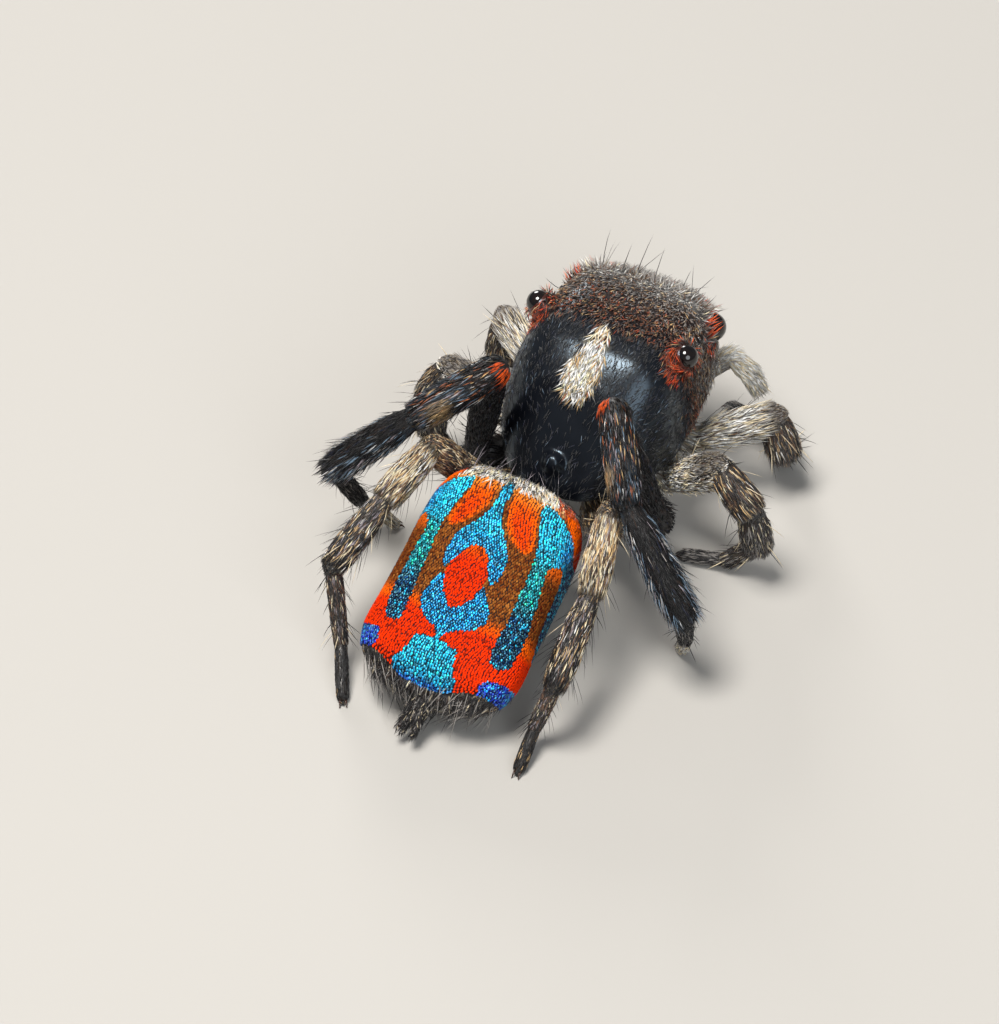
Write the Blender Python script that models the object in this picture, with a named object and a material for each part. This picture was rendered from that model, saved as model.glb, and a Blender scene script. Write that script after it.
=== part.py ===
"""A male peacock spider standing still on a floor with its fan folded round the abdomen.

It faces +Y with +Z up.  The shapes are written in millimetres, with the floor at zero height
and the mid-line of the body at x = 0, and are turned into metres when each mesh is made.
"""
import math
import random

import bmesh
import bpy
import numpy as np
from mathutils import Matrix, Vector

MM = 0.001
GAP = 0.03
SEED = 7

# Joint places of each leg on its own side: coxa root, femur root, knee, patella end,
# tibia end, metatarsus end and the tip of the foot.  x counts outwards.
LEG_JOINTS = {
    "leg1_R": ((.40, .20, .66), (.68, .26, .62), (1.25, .58, .87), (1.36, .64, .42),
               (1.16, .98, .16), (.86, 1.20, .07), (.52, 1.28, .045)),
    "leg1_L": ((.40, .20, .66), (.68, .26, .62), (1.30, .60, .84), (1.36, .62, .40),
               (1.16, .98, .16), (.86, 1.20, .07), (.52, 1.28, .045)),
    "leg2_R": ((.41, -.19, .65), (.71, -.25, .59), (1.28, -.50, 1.22), (1.62, -.56, .92),
               (1.64, -.44, .40), (1.36, -.47, .12), (.98, -.52, .045)),
    "leg2_L": ((.41, -.19, .65), (.71, -.25, .59), (1.28, -.50, 1.22), (1.46, -.52, .82),
               (1.50, -.44, .34), (1.26, -.47, .11), (.90, -.52, .045)),
    "leg3_R": ((.40, -.56, .66), (.88, -.80, .66), (.57, -1.08, 2.04), (.98, -1.64, 1.67),
               (1.66, -1.88, .86), (1.60, -1.72, .40), (1.47, -1.52, .045)),
    "leg3_L": ((.40, -.56, .66), (.88, -.80, .66), (.58, -1.05, 1.97), (1.03, -1.60, 1.72),
               (1.72, -1.80, .95), (1.57, -1.58, .45), (1.36, -1.35, .045)),
    "leg4_R": ((.29, -.86, .65), (.54, -1.09, .60), (.80, -1.59, 1.41), (.93, -2.16, 1.03),
               (1.01, -2.97, .70), (.88, -3.07, .22), (.91, -3.42, .045)),
    "leg4_L": ((.29, -.86, .65), (.54, -1.09, .60), (.84, -1.67, 1.50), (1.03, -2.14, 1.22),
               (1.14, -2.88, 1.02), (1.00, -3.00, .27), (.78, -3.38, .045)),
}
SEGMENTS = ("coxa", "femur", "patella", "tibia", "foot")
# Half thickness of coxa, femur, patella, tibia, metatarsus and tarsus.
LEG_RADII = {
    "leg1": (.170, .185, .170, .158, .096, .070),
    "leg2": (.170, .174, .170, .160, .096, .070),
    "leg3": (.170, .152, .178, .162, .096, .070),
    "leg4": (.160, .160, .176, .166, .098, .070),
}
# How the thickness runs along a segment: share of the way, share of the largest radius.
SHAPE = {
    "coxa": ((0, .80), (.5, 1.0), (1, .78)),
    "femur": ((0, .72), (.2, .90), (.5, 1.0), (.8, .95), (1, .78)),
    "patella": ((0, .76), (.35, .96), (.65, 1.0), (1, .80)),
    "tibia": ((0, .78), (.3, .96), (.65, 1.0), (.9, .88), (1, .74)),
    "metatarsus": ((0, .90), (.25, 1.0), (.8, .92), (1, .84)),
    "tarsus": ((0, .92), (.4, 1.05), (.8, 1.0), (1, .82)),
}
ROWS = {"coxa": 3, "femur": 6, "patella": 4, "tibia": 6}
LEG_SIDES = 10
BEND = .10
FOOT_SOLE = .010
SOLE_REACH = .15
FLATTEN = {"coxa": 1.0, "femur": .84, "patella": .94, "tibia": .92, "foot": .92}
CLAW_LENGTH = .075
CLAW_RADIUS = .014
BRUSH_ROWS = 5
BRUSH_AROUND = 8
BRUSH_FROM = .25
BRUSH_TO = .88
BRUSH_LENGTH = .21
BRUSH_RADIUS = .024

# Carapace stations from the rear to the face.
CARA_Y = (-1.18, -1.15, -1.05, -.85, -.60, -.30, .0, .40, .66, .80, .89, .95)
CARA_HALF = (.14, .30, .45, .61, .735, .79, .77, .725, .68, .61, .52, .40)
CARA_TOP = (1.00, 1.06, 1.20, 1.46, 1.74, 1.93, 1.97, 1.93, 1.83, 1.735, 1.65, 1.55)
CARA_MARGIN = (.93, .93, .93, .94, .95, .96, .98, 1.02, 1.07, 1.11, 1.16, 1.22)
CARA_BOX_X = (.85, .85, .80, .72, .62, .50, .41, .39, .42, .46, .50, .60)
CARA_BOX_Z = (.95, .95, .95, .92, .88, .79, .69, .66, .70, .74, .80, .85)
CARA_ARC = 20
CARA_FLOOR = 5
CARA_RIM = .045

# Eyes: place on the right side and radius.
EYES = {
    "eye_front_middle": ((.262, .800, 1.440), .230),
    "eye_front_side": ((.615, .660, 1.575), .125),
    "eye_small_middle": ((.645, .360, 1.700), .042),
    "eye_rear_side": ((.700, .000, 1.830), .106),
}
MOUND = {"eye_front_side": .05, "eye_small_middle": .04, "eye_rear_side": .05}
MOUND_RIM = .058
SOCKET_GAP = .022

# Abdomen stations along its own sloping axis, from the rear to the waist.
ABD_CENTRE = (0, -2.57, 1.10)
ABD_SLOPE = math.radians(31.2)
ABD_S = (-1.06, -1.01, -.92, -.80, -.60, -.30, .05, .35, .60, .78, .90, .98, 1.02)
ABD_TOP = (-.24, -.16, -.07, .00, .035, .05, .055, .06, .055, .045, .00, -.12, -.33)
ABD_LOW = (-.38, -.46, -.56, -.66, -.76, -.86, -.97, -.99, -.96, -.93, -.90, -.85, -.75)
ABD_HALF = (.14, .40, .60, .70, .74, .72, .705, .70, .68, .62, .52, .36, .15)
ABD_DROP_S = (-.90, -.30, .50)
ABD_SIDE_DROP = (.24, .30, .34)
ABD_PIVOT_Y = -1.24
ABD_TURN = math.radians(1.8)
ABD_BOX_X = .62
ABD_BOX_TOP = .86
FAN_THICK = .07
FAN_REAR = -.93
FAN_FRONT = .93
FAN_FOLD = math.radians(24)
FAN_ROWS = 15
FAN_ARC = 24


def curve_value(xs, ys, x):
    """Smooth value between stations, with no overshoot."""
    xs = np.asarray(xs, float)
    ys = np.asarray(ys, float)
    step = np.diff(xs)
    slope = np.diff(ys) / step
    tangent = np.zeros(len(xs))
    tangent[0] = slope[0]
    tangent[-1] = slope[-1]
    for i in range(1, len(xs) - 1):
        if slope[i - 1] * slope[i] > 0:
            tangent[i] = 2 * slope[i - 1] * slope[i] / (slope[i - 1] + slope[i])
    x = min(max(x, xs[0]), xs[-1])
    i = int(min(np.searchsorted(xs, x, side="right") - 1, len(xs) - 2))
    t = (x - xs[i]) / step[i]
    a = (1 + 2 * t) * (1 - t) ** 2
    b = t * (1 - t) ** 2
    c = t * t * (3 - 2 * t)
    d = t * t * (t - 1)
    return a * ys[i] + b * step[i] * tangent[i] + c * ys[i + 1] + d * step[i] * tangent[i + 1]


def power(value, exponent):
    """Signed power, for rounded box sections."""
    return math.copysign(abs(value) ** exponent, value)


def unit(v):
    """The vector at length one."""
    v = np.asarray(v, float)
    return v / np.linalg.norm(v)


def mesh_object(name, verts, faces):
    """Object from points in millimetres, triangulated with its faces turned outwards."""
    mesh = bpy.data.meshes.new(name)
    mesh.from_pydata([tuple(float(c) for c in v) for v in verts], [], faces)
    bm = bmesh.new()
    bm.from_mesh(mesh)
    bmesh.ops.triangulate(bm, faces=bm.faces[:])
    bmesh.ops.recalc_face_normals(bm, faces=bm.faces[:])
    bm.to_mesh(mesh)
    bm.free()
    obj = bpy.data.objects.new(name, mesh)
    bpy.context.scene.collection.objects.link(obj)
    return obj


def loft(rings):
    """Points and faces of a closed body from rings of equal count, with a point at each end."""
    rings = [np.asarray(r, float) for r in rings]
    count = len(rings[0])
    verts = [p for r in rings for p in r]
    faces = []
    for i in range(len(rings) - 1):
        for k in range(count):
            n = (k + 1) % count
            faces.append((i * count + k, i * count + n, (i + 1) * count + n, (i + 1) * count + k))
    for ring, base, flip in ((rings[0], 0, True), (rings[-1], (len(rings) - 1) * count, False)):
        tip = len(verts)
        verts.append(ring.mean(axis=0))
        for k in range(count):
            a, b = base + k, base + (k + 1) % count
            faces.append((b, a, tip) if flip else (a, b, tip))
    return verts, faces


def ball(centre, radius, around, up):
    """Rings of a sphere, for eyes and sockets."""
    rings = []
    for i in range(1, up):
        polar = math.pi * i / up
        ring = []
        for k in range(around):
            turn = 2 * math.pi * k / around
            side = radius * math.sin(polar)
            ring.append((centre[0] + side * math.cos(turn),
                         centre[1] + radius * math.cos(polar),
                         centre[2] + side * math.sin(turn)))
        rings.append(ring)
    verts, faces = loft(rings)
    verts[-2] = np.array((centre[0], centre[1] + radius, centre[2]))
    verts[-1] = np.array((centre[0], centre[1] - radius, centre[2]))
    return verts, faces


class Path:
    """A polyline whose corners are rounded by averaging over a short stretch."""

    def __init__(self, joints, bend):
        self.joints = np.asarray(joints, float)
        lengths = np.linalg.norm(np.diff(self.joints, axis=0), axis=1)
        self.at = np.concatenate([[0], np.cumsum(lengths)])
        self.bend = bend

    def raw(self, s):
        """Point on the unrounded line, which runs straight on beyond its ends."""
        point = np.array([np.interp(s, self.at, self.joints[:, k]) for k in range(3)])
        if s < 0:
            point += unit(self.joints[1] - self.joints[0]) * s
        if s > self.at[-1]:
            point += unit(self.joints[-1] - self.joints[-2]) * (s - self.at[-1])
        return point

    def point(self, s):
        """Point on the rounded line."""
        reach = max(min(self.bend, s, self.at[-1] - s), 0)
        steps = np.linspace(s - reach, s + reach, 9)
        return np.mean([self.raw(v) for v in steps], axis=0)

    def tangent(self, s):
        """Direction of the rounded line."""
        return unit(self.point(s + .02) - self.point(s - .02))


def tube(path, stations, flatten, sides, side_axis):
    """Rings along a path: stations are (arc length, radius)."""
    rings = []
    for s, radius in stations:
        centre = path.point(s)
        along = path.tangent(s)
        side = unit(side_axis - along * (side_axis @ along))
        up = np.cross(along, side)
        ring = []
        for k in range(sides):
            turn = 2 * math.pi * (k + .5) / sides
            offset = side * (math.cos(turn) * flatten) + up * math.sin(turn)
            ring.append(centre + radius * offset)
        rings.append(ring)
        side_axis = side
    return rings


def end_cap(radius):
    """Distance beyond a joint and radius of the rounded end's rings."""
    return ((.86 * radius, .50 * radius), (.50 * radius, .87 * radius))


def segment_stations(path, radius, name):
    """Stations of one straight leg segment with rounded ends beyond both joints."""
    xs = [p[0] for p in SHAPE[name]]
    ys = [p[1] for p in SHAPE[name]]
    length = path.at[-1]
    first = radius * ys[0]
    last = radius * ys[-1]
    stations = [(-d, r) for d, r in end_cap(first)]
    for i in range(ROWS[name]):
        t = i / (ROWS[name] - 1)
        stations.append((length * t, radius * curve_value(xs, ys, t)))
    stations += [(length + d, r) for d, r in reversed(end_cap(last))]
    return stations


def foot_stations(path, radii, rows):
    """Stations of the metatarsus and tarsus, which make one body."""
    middle = path.at[1]
    last = path.at[2]
    first = radii[0] * SHAPE["metatarsus"][0][1]
    stations = [(-d, r) for d, r in end_cap(first)]
    for name, low, high, radius in (("metatarsus", 0, middle, radii[0]),
                                    ("tarsus", middle, last, radii[1])):
        xs = [p[0] for p in SHAPE[name]]
        ys = [p[1] for p in SHAPE[name]]
        for i in range(rows):
            t = .1 + .8 * i / (rows - 1)
            stations.append((low + (high - low) * t, radius * curve_value(xs, ys, t)))
    stations.append((last - .005, radii[1] * .62))
    return stations


def mitre(obj, joint, normal):
    """Cuts a segment's end flat, half a gap short of the plane that halves the bend."""
    place = joint - normal * (GAP / 2)
    bm = bmesh.new()
    bm.from_mesh(obj.data)
    geometry = bm.verts[:] + bm.edges[:] + bm.faces[:]
    bmesh.ops.bisect_plane(bm, geom=geometry, dist=1e-6, plane_co=Vector(place),
                           plane_no=Vector(normal), clear_outer=True)
    rim = [e for e in bm.edges if len(e.link_faces) == 1]
    bmesh.ops.holes_fill(bm, edges=rim, sides=0)
    bmesh.ops.triangulate(bm, faces=bm.faces[:])
    bmesh.ops.recalc_face_normals(bm, faces=bm.faces[:])
    bm.to_mesh(obj.data)
    bm.free()


def cone(base, tip, radius, end_radius, sides, bow):
    """A bent, tapering spine as points and faces."""
    base = np.asarray(base, float)
    tip = np.asarray(tip, float)
    along = unit(tip - base)
    helper = np.array((0, 0, 1.0)) if abs(along[2]) < .9 else np.array((1.0, 0, 0))
    side = unit(np.cross(along, helper))
    up = np.cross(side, along)
    rings = []
    for t in (0, .5, 1):
        centre = base + (tip - base) * t + np.asarray(bow, float) * (4 * t * (1 - t))
        width = radius + (end_radius - radius) * t
        ring = []
        for k in range(sides):
            turn = 2 * math.pi * k / sides
            ring.append(centre + width * (side * math.cos(turn) + up * math.sin(turn)))
        rings.append(ring)
    return loft(rings)


def fuse(target, pieces):
    """Joins the pieces to the target by one union and keeps the largest closed surface."""
    group = bpy.data.collections.new(target.name + "_pieces")
    bpy.context.scene.collection.children.link(group)
    for verts, faces in pieces:
        piece = mesh_object(target.name + "_piece", verts, faces)
        bpy.context.scene.collection.objects.unlink(piece)
        group.objects.link(piece)
    for solver in ("EXACT", "MANIFOLD"):
        mod = target.modifiers.new("fuse", "BOOLEAN")
        mod.operation = "UNION"
        mod.operand_type = "COLLECTION"
        mod.collection = group
        mod.solver = solver
        if bake(target, mod, True):
            break
    for piece in list(group.objects):
        bpy.data.objects.remove(piece)
    bpy.data.collections.remove(group)


def cut(target, cutter):
    """Takes the cutter away from the target."""
    cutter.hide_render = True
    cutter.display_type = "WIRE"
    for solver in ("EXACT", "MANIFOLD"):
        mod = target.modifiers.new("cut", "BOOLEAN")
        mod.operation = "DIFFERENCE"
        mod.object = cutter
        mod.solver = solver
        if bake(target, mod, True):
            break
    bpy.data.objects.remove(cutter)


def bake(target, mod, keep_largest):
    """Takes the modifier's result as the mesh if it is one closed surface."""
    bpy.context.view_layer.update()
    graph = bpy.context.evaluated_depsgraph_get()
    result = bpy.data.meshes.new_from_object(target.evaluated_get(graph))
    target.modifiers.remove(mod)
    bm = bmesh.new()
    bm.from_mesh(result)
    bmesh.ops.triangulate(bm, faces=bm.faces[:])
    if keep_largest:
        keep_main_surface(bm)
    closed = len(bm.faces) > 0 and all(len(e.link_faces) == 2 for e in bm.edges)
    if closed:
        bm.to_mesh(target.data)
    bm.free()
    bpy.data.meshes.remove(result)
    return closed


def keep_main_surface(bm):
    """Deletes every connected surface but the one with most faces."""
    left = set(bm.faces)
    groups = []
    while left:
        start = left.pop()
        group = {start}
        stack = [start]
        while stack:
            face = stack.pop()
            for edge in face.edges:
                for other in edge.link_faces:
                    if other in left:
                        left.remove(other)
                        group.add(other)
                        stack.append(other)
        groups.append(group)
    groups.sort(key=len)
    extra = [f for g in groups[:-1] for f in g]
    if extra:
        bmesh.ops.delete(bm, geom=extra, context="FACES")


def rest_on_floor(verts):
    """Lowers the foot's end until its sole lies flat on the floor."""
    low = min(v[2] for v in verts) + FOOT_SOLE
    out = []
    for v in verts:
        share = max(1 - v[2] / SOLE_REACH, 0)
        out.append(np.array((v[0], v[1], max(v[2] - low * share, 0.0))))
    return out


def claws(tip, along):
    """Two small hooked claws at the end of a foot."""
    across = unit(np.cross(along, (0, 0, 1.0)))
    out = []
    for turn in (-1, 1):
        base = tip + across * (turn * .018) - along * .02
        base[2] = .034
        end = tip + across * (turn * .030) + along * CLAW_LENGTH
        end[2] = .012
        out.append(cone(base, end, CLAW_RADIUS, CLAW_RADIUS * .45, 6, (0, 0, .016)))
    return out


def brush_locks(joints, radius, plane):
    """Tapered locks lying along the lower half of the third leg's tibia."""
    rng = random.Random(SEED)
    start = joints[3]
    along = unit(joints[4] - start)
    length = np.linalg.norm(joints[4] - start)
    side = unit(plane - along * (plane @ along))
    up = np.cross(along, side)
    away = unit(joints[5] - joints[4])
    pieces = []
    for row in range(BRUSH_ROWS):
        share = BRUSH_FROM + (BRUSH_TO - BRUSH_FROM) * row / (BRUSH_ROWS - 1)
        for k in range(BRUSH_AROUND):
            turn = 2 * math.pi * (k + .5 * (row % 2) + .2 * rng.random()) / BRUSH_AROUND
            out = side * math.cos(turn) + up * math.sin(turn)
            reach = BRUSH_LENGTH * (.85 + .3 * rng.random())
            spread = radius * (1.15 + .35 * share)
            base = start + along * (length * share) + out * (radius * .62)
            tip = start + along * (length * share + reach) + out * spread
            if (tip - joints[4]) @ away > .02 and out @ away > -.2:
                continue
            pieces.append(cone(base, tip, BRUSH_RADIUS, .004, 5, out * .014))
    return pieces


def build_leg(name):
    """The five bodies of one leg."""
    side = 1 if name.endswith("R") else -1
    kind = name[:4]
    joints = [np.array((side * x, y, z)) for x, y, z in LEG_JOINTS[name]]
    radii = LEG_RADII[kind]
    ways = [unit(joints[i + 1] - joints[i]) for i in range(6)]
    plane = unit(np.cross(ways[1], ways[3]))
    for index, segment in enumerate(SEGMENTS):
        if segment == "foot":
            path = Path(joints[4:], BEND)
            stations = foot_stations(path, radii[4:], 4)
        else:
            path = Path(joints[index:index + 2], 0)
            stations = segment_stations(path, radii[index], segment)
        verts, faces = loft(tube(path, stations, FLATTEN[segment], LEG_SIDES, plane))
        if segment == "foot":
            verts = rest_on_floor(verts)
        body = mesh_object(name + "_" + segment, verts, faces)
        if index > 0:
            mitre(body, joints[index], -unit(ways[index - 1] + ways[index]))
        if segment == "foot":
            fuse(body, claws(joints[6], ways[5]))
        else:
            mitre(body, joints[index + 1], unit(ways[index] + ways[index + 1]))
        if kind == "leg3" and segment == "tibia":
            fuse(body, brush_locks(joints, radii[3], plane))


def carapace_ring(y):
    """One cross-section of the carapace."""
    half = curve_value(CARA_Y, CARA_HALF, y)
    top = curve_value(CARA_Y, CARA_TOP, y)
    margin = curve_value(CARA_Y, CARA_MARGIN, y)
    box_x = curve_value(CARA_Y, CARA_BOX_X, y)
    box_z = curve_value(CARA_Y, CARA_BOX_Z, y)
    ring = []
    for k in range(CARA_ARC + 1):
        turn = math.pi * k / CARA_ARC
        x = half * power(math.cos(turn), box_x)
        z = margin + (top - margin) * math.sin(turn) ** box_z
        ring.append((x, y, z))
    for k in range(1, CARA_FLOOR):
        x = -half * .95 * (1 - 2 * k / CARA_FLOOR)
        ring.append((x, y, margin - CARA_RIM))
    return ring


def eye_rows(radius):
    """How finely an eye of this size is divided round and along."""
    if radius > .2:
        return 18, 10
    if radius > .1:
        return 12, 8
    return 8, 5


def build_carapace():
    """The head and chest shield with raised eye mounts and sockets for the eyes."""
    stations = list(np.linspace(CARA_Y[0], -.6, 7)) + list(np.linspace(-.42, .68, 7))
    stations += [.77, .83, .88, .92, .95]
    body = mesh_object("carapace", *loft([carapace_ring(y) for y in stations]))
    mounds = []
    for name, depth in MOUND.items():
        (x, y, z), radius = EYES[name]
        inward = unit(np.array((0, y * .6, 1.3)) - np.array((x, y, z)))
        for side in (1, -1):
            centre = np.array((x, y, z)) + inward * depth
            centre[0] *= side
            mounds.append(ball(centre, radius + MOUND_RIM, 12, 7))
    fuse(body, mounds)
    for name, ((x, y, z), radius) in EYES.items():
        for side in (1, -1):
            around, up = eye_rows(radius)
            cutter = mesh_object("socket", *ball((side * x, y, z), radius + SOCKET_GAP, around, up))
            cut(body, cutter)


def build_eyes():
    """Eight glossy eyes, each a ball in its socket."""
    for name, ((x, y, z), radius) in EYES.items():
        around, up = eye_rows(radius)
        for side, letter in ((1, "R"), (-1, "L")):
            mesh_object(name + "_" + letter, *ball((side * x, y, z), radius, around, up))


def turned(point):
    """A point of the rear body, swung a little to the left about the waist."""
    x = point[0] * math.cos(ABD_TURN) + (point[1] - ABD_PIVOT_Y) * math.sin(ABD_TURN)
    y = ABD_PIVOT_Y + (point[1] - ABD_PIVOT_Y) * math.cos(ABD_TURN) - point[0] * math.sin(ABD_TURN)
    return np.array((x, y, point[2]))


def abdomen_point(s, turn, inset):
    """Point on the abdomen; turn runs from its right side over the back."""
    top = curve_value(ABD_S, ABD_TOP, s)
    low = curve_value(ABD_S, ABD_LOW, s)
    half = curve_value(ABD_S, ABD_HALF, s)
    drop = min(float(np.interp(s, ABD_DROP_S, ABD_SIDE_DROP)), (top - low) / 2)
    level = top - drop
    across = math.cos(turn)
    rise = math.sin(turn)
    x = (half - inset) * power(across, ABD_BOX_X)
    if rise >= 0:
        n = level + (top - inset - level) * rise ** ABD_BOX_TOP
    else:
        n = level - (level - low) * abs(rise)
    cy = ABD_CENTRE[1] + math.cos(ABD_SLOPE) * s - math.sin(ABD_SLOPE) * n
    cz = ABD_CENTRE[2] + math.sin(ABD_SLOPE) * s + math.cos(ABD_SLOPE) * n
    return turned(np.array((x, cy, cz)))


def cover(s, turn):
    """How far below the folded fan the abdomen lies at a place: 0 outside it."""
    lower = -FAN_FOLD - math.radians(20)
    if turn > math.pi / 2:
        turn = math.pi - turn
    side = min(max((turn - lower) / math.radians(8), 0), 1)
    ends = min(max((s - FAN_REAR + .07) / .05, 0), 1) * min(max((FAN_FRONT + .07 - s) / .05, 0), 1)
    return side * ends


def build_abdomen():
    """The soft abdomen under the fan."""
    stations = [-1.06, -1.02, -.985, -.95, -.88, -.78, -.6, -.35, -.1, .15, .4, .6]
    stations += [.75, .86, .91, .95, .99, 1.02]
    rings = []
    for s in stations:
        ring = []
        for k in range(30):
            turn = 2 * math.pi * k / 30 - math.pi / 2
            inset = (FAN_THICK + GAP) * cover(s, turn)
            ring.append(abdomen_point(s, turn, inset))
        rings.append(ring)
    mesh_object("abdomen", *loft(rings))


def build_fan():
    """The patterned back shield with its sides folded down round the abdomen."""
    verts = []
    for i in range(FAN_ROWS + 1):
        t = i / FAN_ROWS
        s = FAN_REAR + (FAN_FRONT - FAN_REAR) * t
        outer = []
        inner = []
        edge = min(t, 1 - t)
        thick = FAN_THICK * min(1, .45 + edge * 6)
        for k in range(FAN_ARC + 1):
            turn = -FAN_FOLD + (math.pi + 2 * FAN_FOLD) * k / FAN_ARC
            rim = min(1, .4 + .3 * min(k, FAN_ARC - k))
            outer.append(abdomen_point(s, turn, 0))
            inner.append(abdomen_point(s, turn, thick * rim))
        verts += outer + inner[::-1]
    count = 2 * (FAN_ARC + 1)
    faces = []
    for i in range(FAN_ROWS):
        for k in range(count):
            n = (k + 1) % count
            faces.append((i * count + k, i * count + n, (i + 1) * count + n, (i + 1) * count + k))
    for base, flip in ((0, True), (FAN_ROWS * count, False)):
        for k in range(FAN_ARC):
            quad = (base + k, base + k + 1, base + count - 2 - k, base + count - 1 - k)
            faces.append(quad[::-1] if flip else quad)
    mesh_object("fan", verts, faces)


def simple_tube(points, radii, sides, side_axis, flatten):
    """A closed tube through points with a radius at each."""
    path = Path(points, .08)
    total = path.at[-1]
    shares = np.linspace(0, 1, len(radii))
    stations = [(0, radii[0] * .5)]
    for t in np.linspace(.03, .97, 2 * len(radii)):
        stations.append((total * t, float(np.interp(t, shares, radii))))
    stations.append((total, radii[-1] * .5))
    return loft(tube(path, stations, flatten, sides, np.asarray(side_axis, float)))


def build_jaws_and_palps():
    """The two jaws and the two feelers beside them."""
    for side, letter in ((1, "R"), (-1, "L")):
        jaw = [(side * .185, .83, 1.00), (side * .19, .90, .86), (side * .165, .90, .64)]
        verts, faces = simple_tube(jaw, (.145, .155, .15, .11), 12, (1, 0, 0), .95)
        body = mesh_object("jaw_" + letter, verts, faces)
        fang = cone((side * .17, .91, .67), (side * .05, .86, .58), .035, .010, 8,
                    (side * .02, .0, -.03))
        fuse(body, [fang])
        palp = [(side * .40, .70, .74), (side * .55, .86, .90), (side * .66, .94, .98),
                (side * .80, .94, .93), (side * .92, .93, .80)]
        verts, faces = simple_tube(palp, (.07, .085, .085, .095, .10, .06), 12, (0, 0, 1), .9)
        mesh_object("palp_" + letter, verts, faces)


def build_underside():
    """The breastplate with the mouth parts, and the waist."""
    rings = []
    for y, half, low, top in ((-.88, .05, .62, .76), (-.82, .09, .56, .82), (-.55, .19, .50, .87),
                              (-.2, .23, .47, .88), (.15, .23, .48, .90), (.42, .20, .50, .92),
                              (.52, .27, .52, .94), (.66, .24, .56, .95), (.73, .15, .62, .90)):
        ring = []
        for k in range(14):
            turn = 2 * math.pi * k / 14
            ring.append((half * power(math.cos(turn), .7), y,
                         (low + top) / 2 + (top - low) / 2 * power(math.sin(turn), .8)))
        rings.append(ring)
    mesh_object("breastplate", *loft(rings))
    waist = [(0, -.93, .70), (0, -1.08, .73), (0, -1.24, .795)]
    mesh_object("waist", *simple_tube(waist, (.075, .07, .075), 12, (1, 0, 0), 1.0))


def build_spinnerets():
    """A ring with three pairs of spinnerets at the rear end."""
    stem = [turned((0, -3.36, .265)), turned((0, -3.43, .222))]
    base = simple_tube(stem, (.11, .10), 12, (1, 0, 0), 1.0)
    body = mesh_object("spinnerets", *base)
    fingers = []
    for x, z, length in ((.045, .185, .16), (.062, .245, .19), (.030, .285, .12)):
        for side in (1, -1):
            start = turned((side * x * .8, -3.40, z))
            end = turned((side * x * 1.25, -3.41 - length, z - .07))
            fingers.append(cone(start, end, .036, .018, 8, (0, 0, .01)))
    fuse(body, fingers)


def material(name, colour, roughness):
    """A plain finish."""
    mat = bpy.data.materials.new(name)
    mat.use_nodes = True
    shader = mat.node_tree.nodes["Principled BSDF"]
    shader.inputs["Base Color"].default_value = (*colour, 1)
    shader.inputs["Roughness"].default_value = roughness
    return mat


def finish_for(name):
    """Colour and roughness of a node by its name."""
    if name.startswith("eye"):
        return (.01, .01, .012), .05
    if name == "fan":
        return (.80, .16, .04), .45
    if name == "carapace":
        return (.02, .022, .03), .25
    if name.startswith("jaw") or name.startswith("breastplate"):
        return (.05, .04, .04), .35
    if name.startswith("leg1") or name.startswith("leg2"):
        return (.42, .38, .33), .6
    if name.startswith("leg4"):
        return (.40, .32, .24), .6
    return (.06, .055, .055), .6


def finish_parts():
    """Gives every body its finish, sets it on the floor's middle and turns it into metres."""
    parts = [o for o in bpy.context.scene.objects if o.type == "MESH"]
    points = np.array([v.co[:] for o in parts for v in o.data.vertices])
    low = points.min(axis=0)
    high = points.max(axis=0)
    shift = Vector((-(low[0] + high[0]) / 2, -(low[1] + high[1]) / 2, -low[2]))
    place = Matrix.Diagonal((MM, MM, MM, 1)) @ Matrix.Translation(shift)
    for obj in parts:
        obj.data.transform(place)
        colour, roughness = finish_for(obj.name)
        obj.data.materials.append(material(obj.name, colour, roughness))


def main():
    for obj in list(bpy.data.objects):
        bpy.data.objects.remove(obj)
    build_carapace()
    build_eyes()
    build_jaws_and_palps()
    build_underside()
    build_abdomen()
    build_fan()
    build_spinnerets()
    for name in LEG_JOINTS:
        build_leg(name)
    finish_parts()


main()
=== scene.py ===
"""The looks of a life-size male peacock spider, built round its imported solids.

Lengths are in millimetres in the spider's own frame, with the floor at zero height, x to its
right and y forwards, and are turned into metres in the row frame when a mesh is made.
"""
import logging
import math
from dataclasses import dataclass, field
from enum import Enum

import bmesh
import bpy
import numpy as np
from mathutils import Matrix, Vector


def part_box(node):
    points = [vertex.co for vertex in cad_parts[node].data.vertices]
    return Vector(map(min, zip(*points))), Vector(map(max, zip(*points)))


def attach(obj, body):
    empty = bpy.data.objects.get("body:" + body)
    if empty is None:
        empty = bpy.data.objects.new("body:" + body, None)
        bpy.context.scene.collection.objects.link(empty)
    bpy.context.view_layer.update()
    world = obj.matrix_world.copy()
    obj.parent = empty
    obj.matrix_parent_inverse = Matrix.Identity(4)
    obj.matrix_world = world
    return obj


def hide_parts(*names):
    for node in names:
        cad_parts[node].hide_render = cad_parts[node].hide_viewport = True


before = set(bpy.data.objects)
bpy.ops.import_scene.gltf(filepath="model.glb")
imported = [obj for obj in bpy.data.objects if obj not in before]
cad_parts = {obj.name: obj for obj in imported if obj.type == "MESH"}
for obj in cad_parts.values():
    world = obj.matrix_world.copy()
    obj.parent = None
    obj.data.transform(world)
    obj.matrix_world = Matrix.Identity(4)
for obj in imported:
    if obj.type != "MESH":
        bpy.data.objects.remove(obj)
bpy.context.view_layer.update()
LOG = logging.getLogger("spider")

Array = np.ndarray
Rng = np.random.Generator
TURN = 2 * math.pi
SIDES = (1, -1)
MM = 0.001
SEED = 11
DENSITY = 1.0
BAKE_MAP = "OFBake"
PATCH = .003
EYE_REAR = np.array((.700, .000, 1.830))


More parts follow.
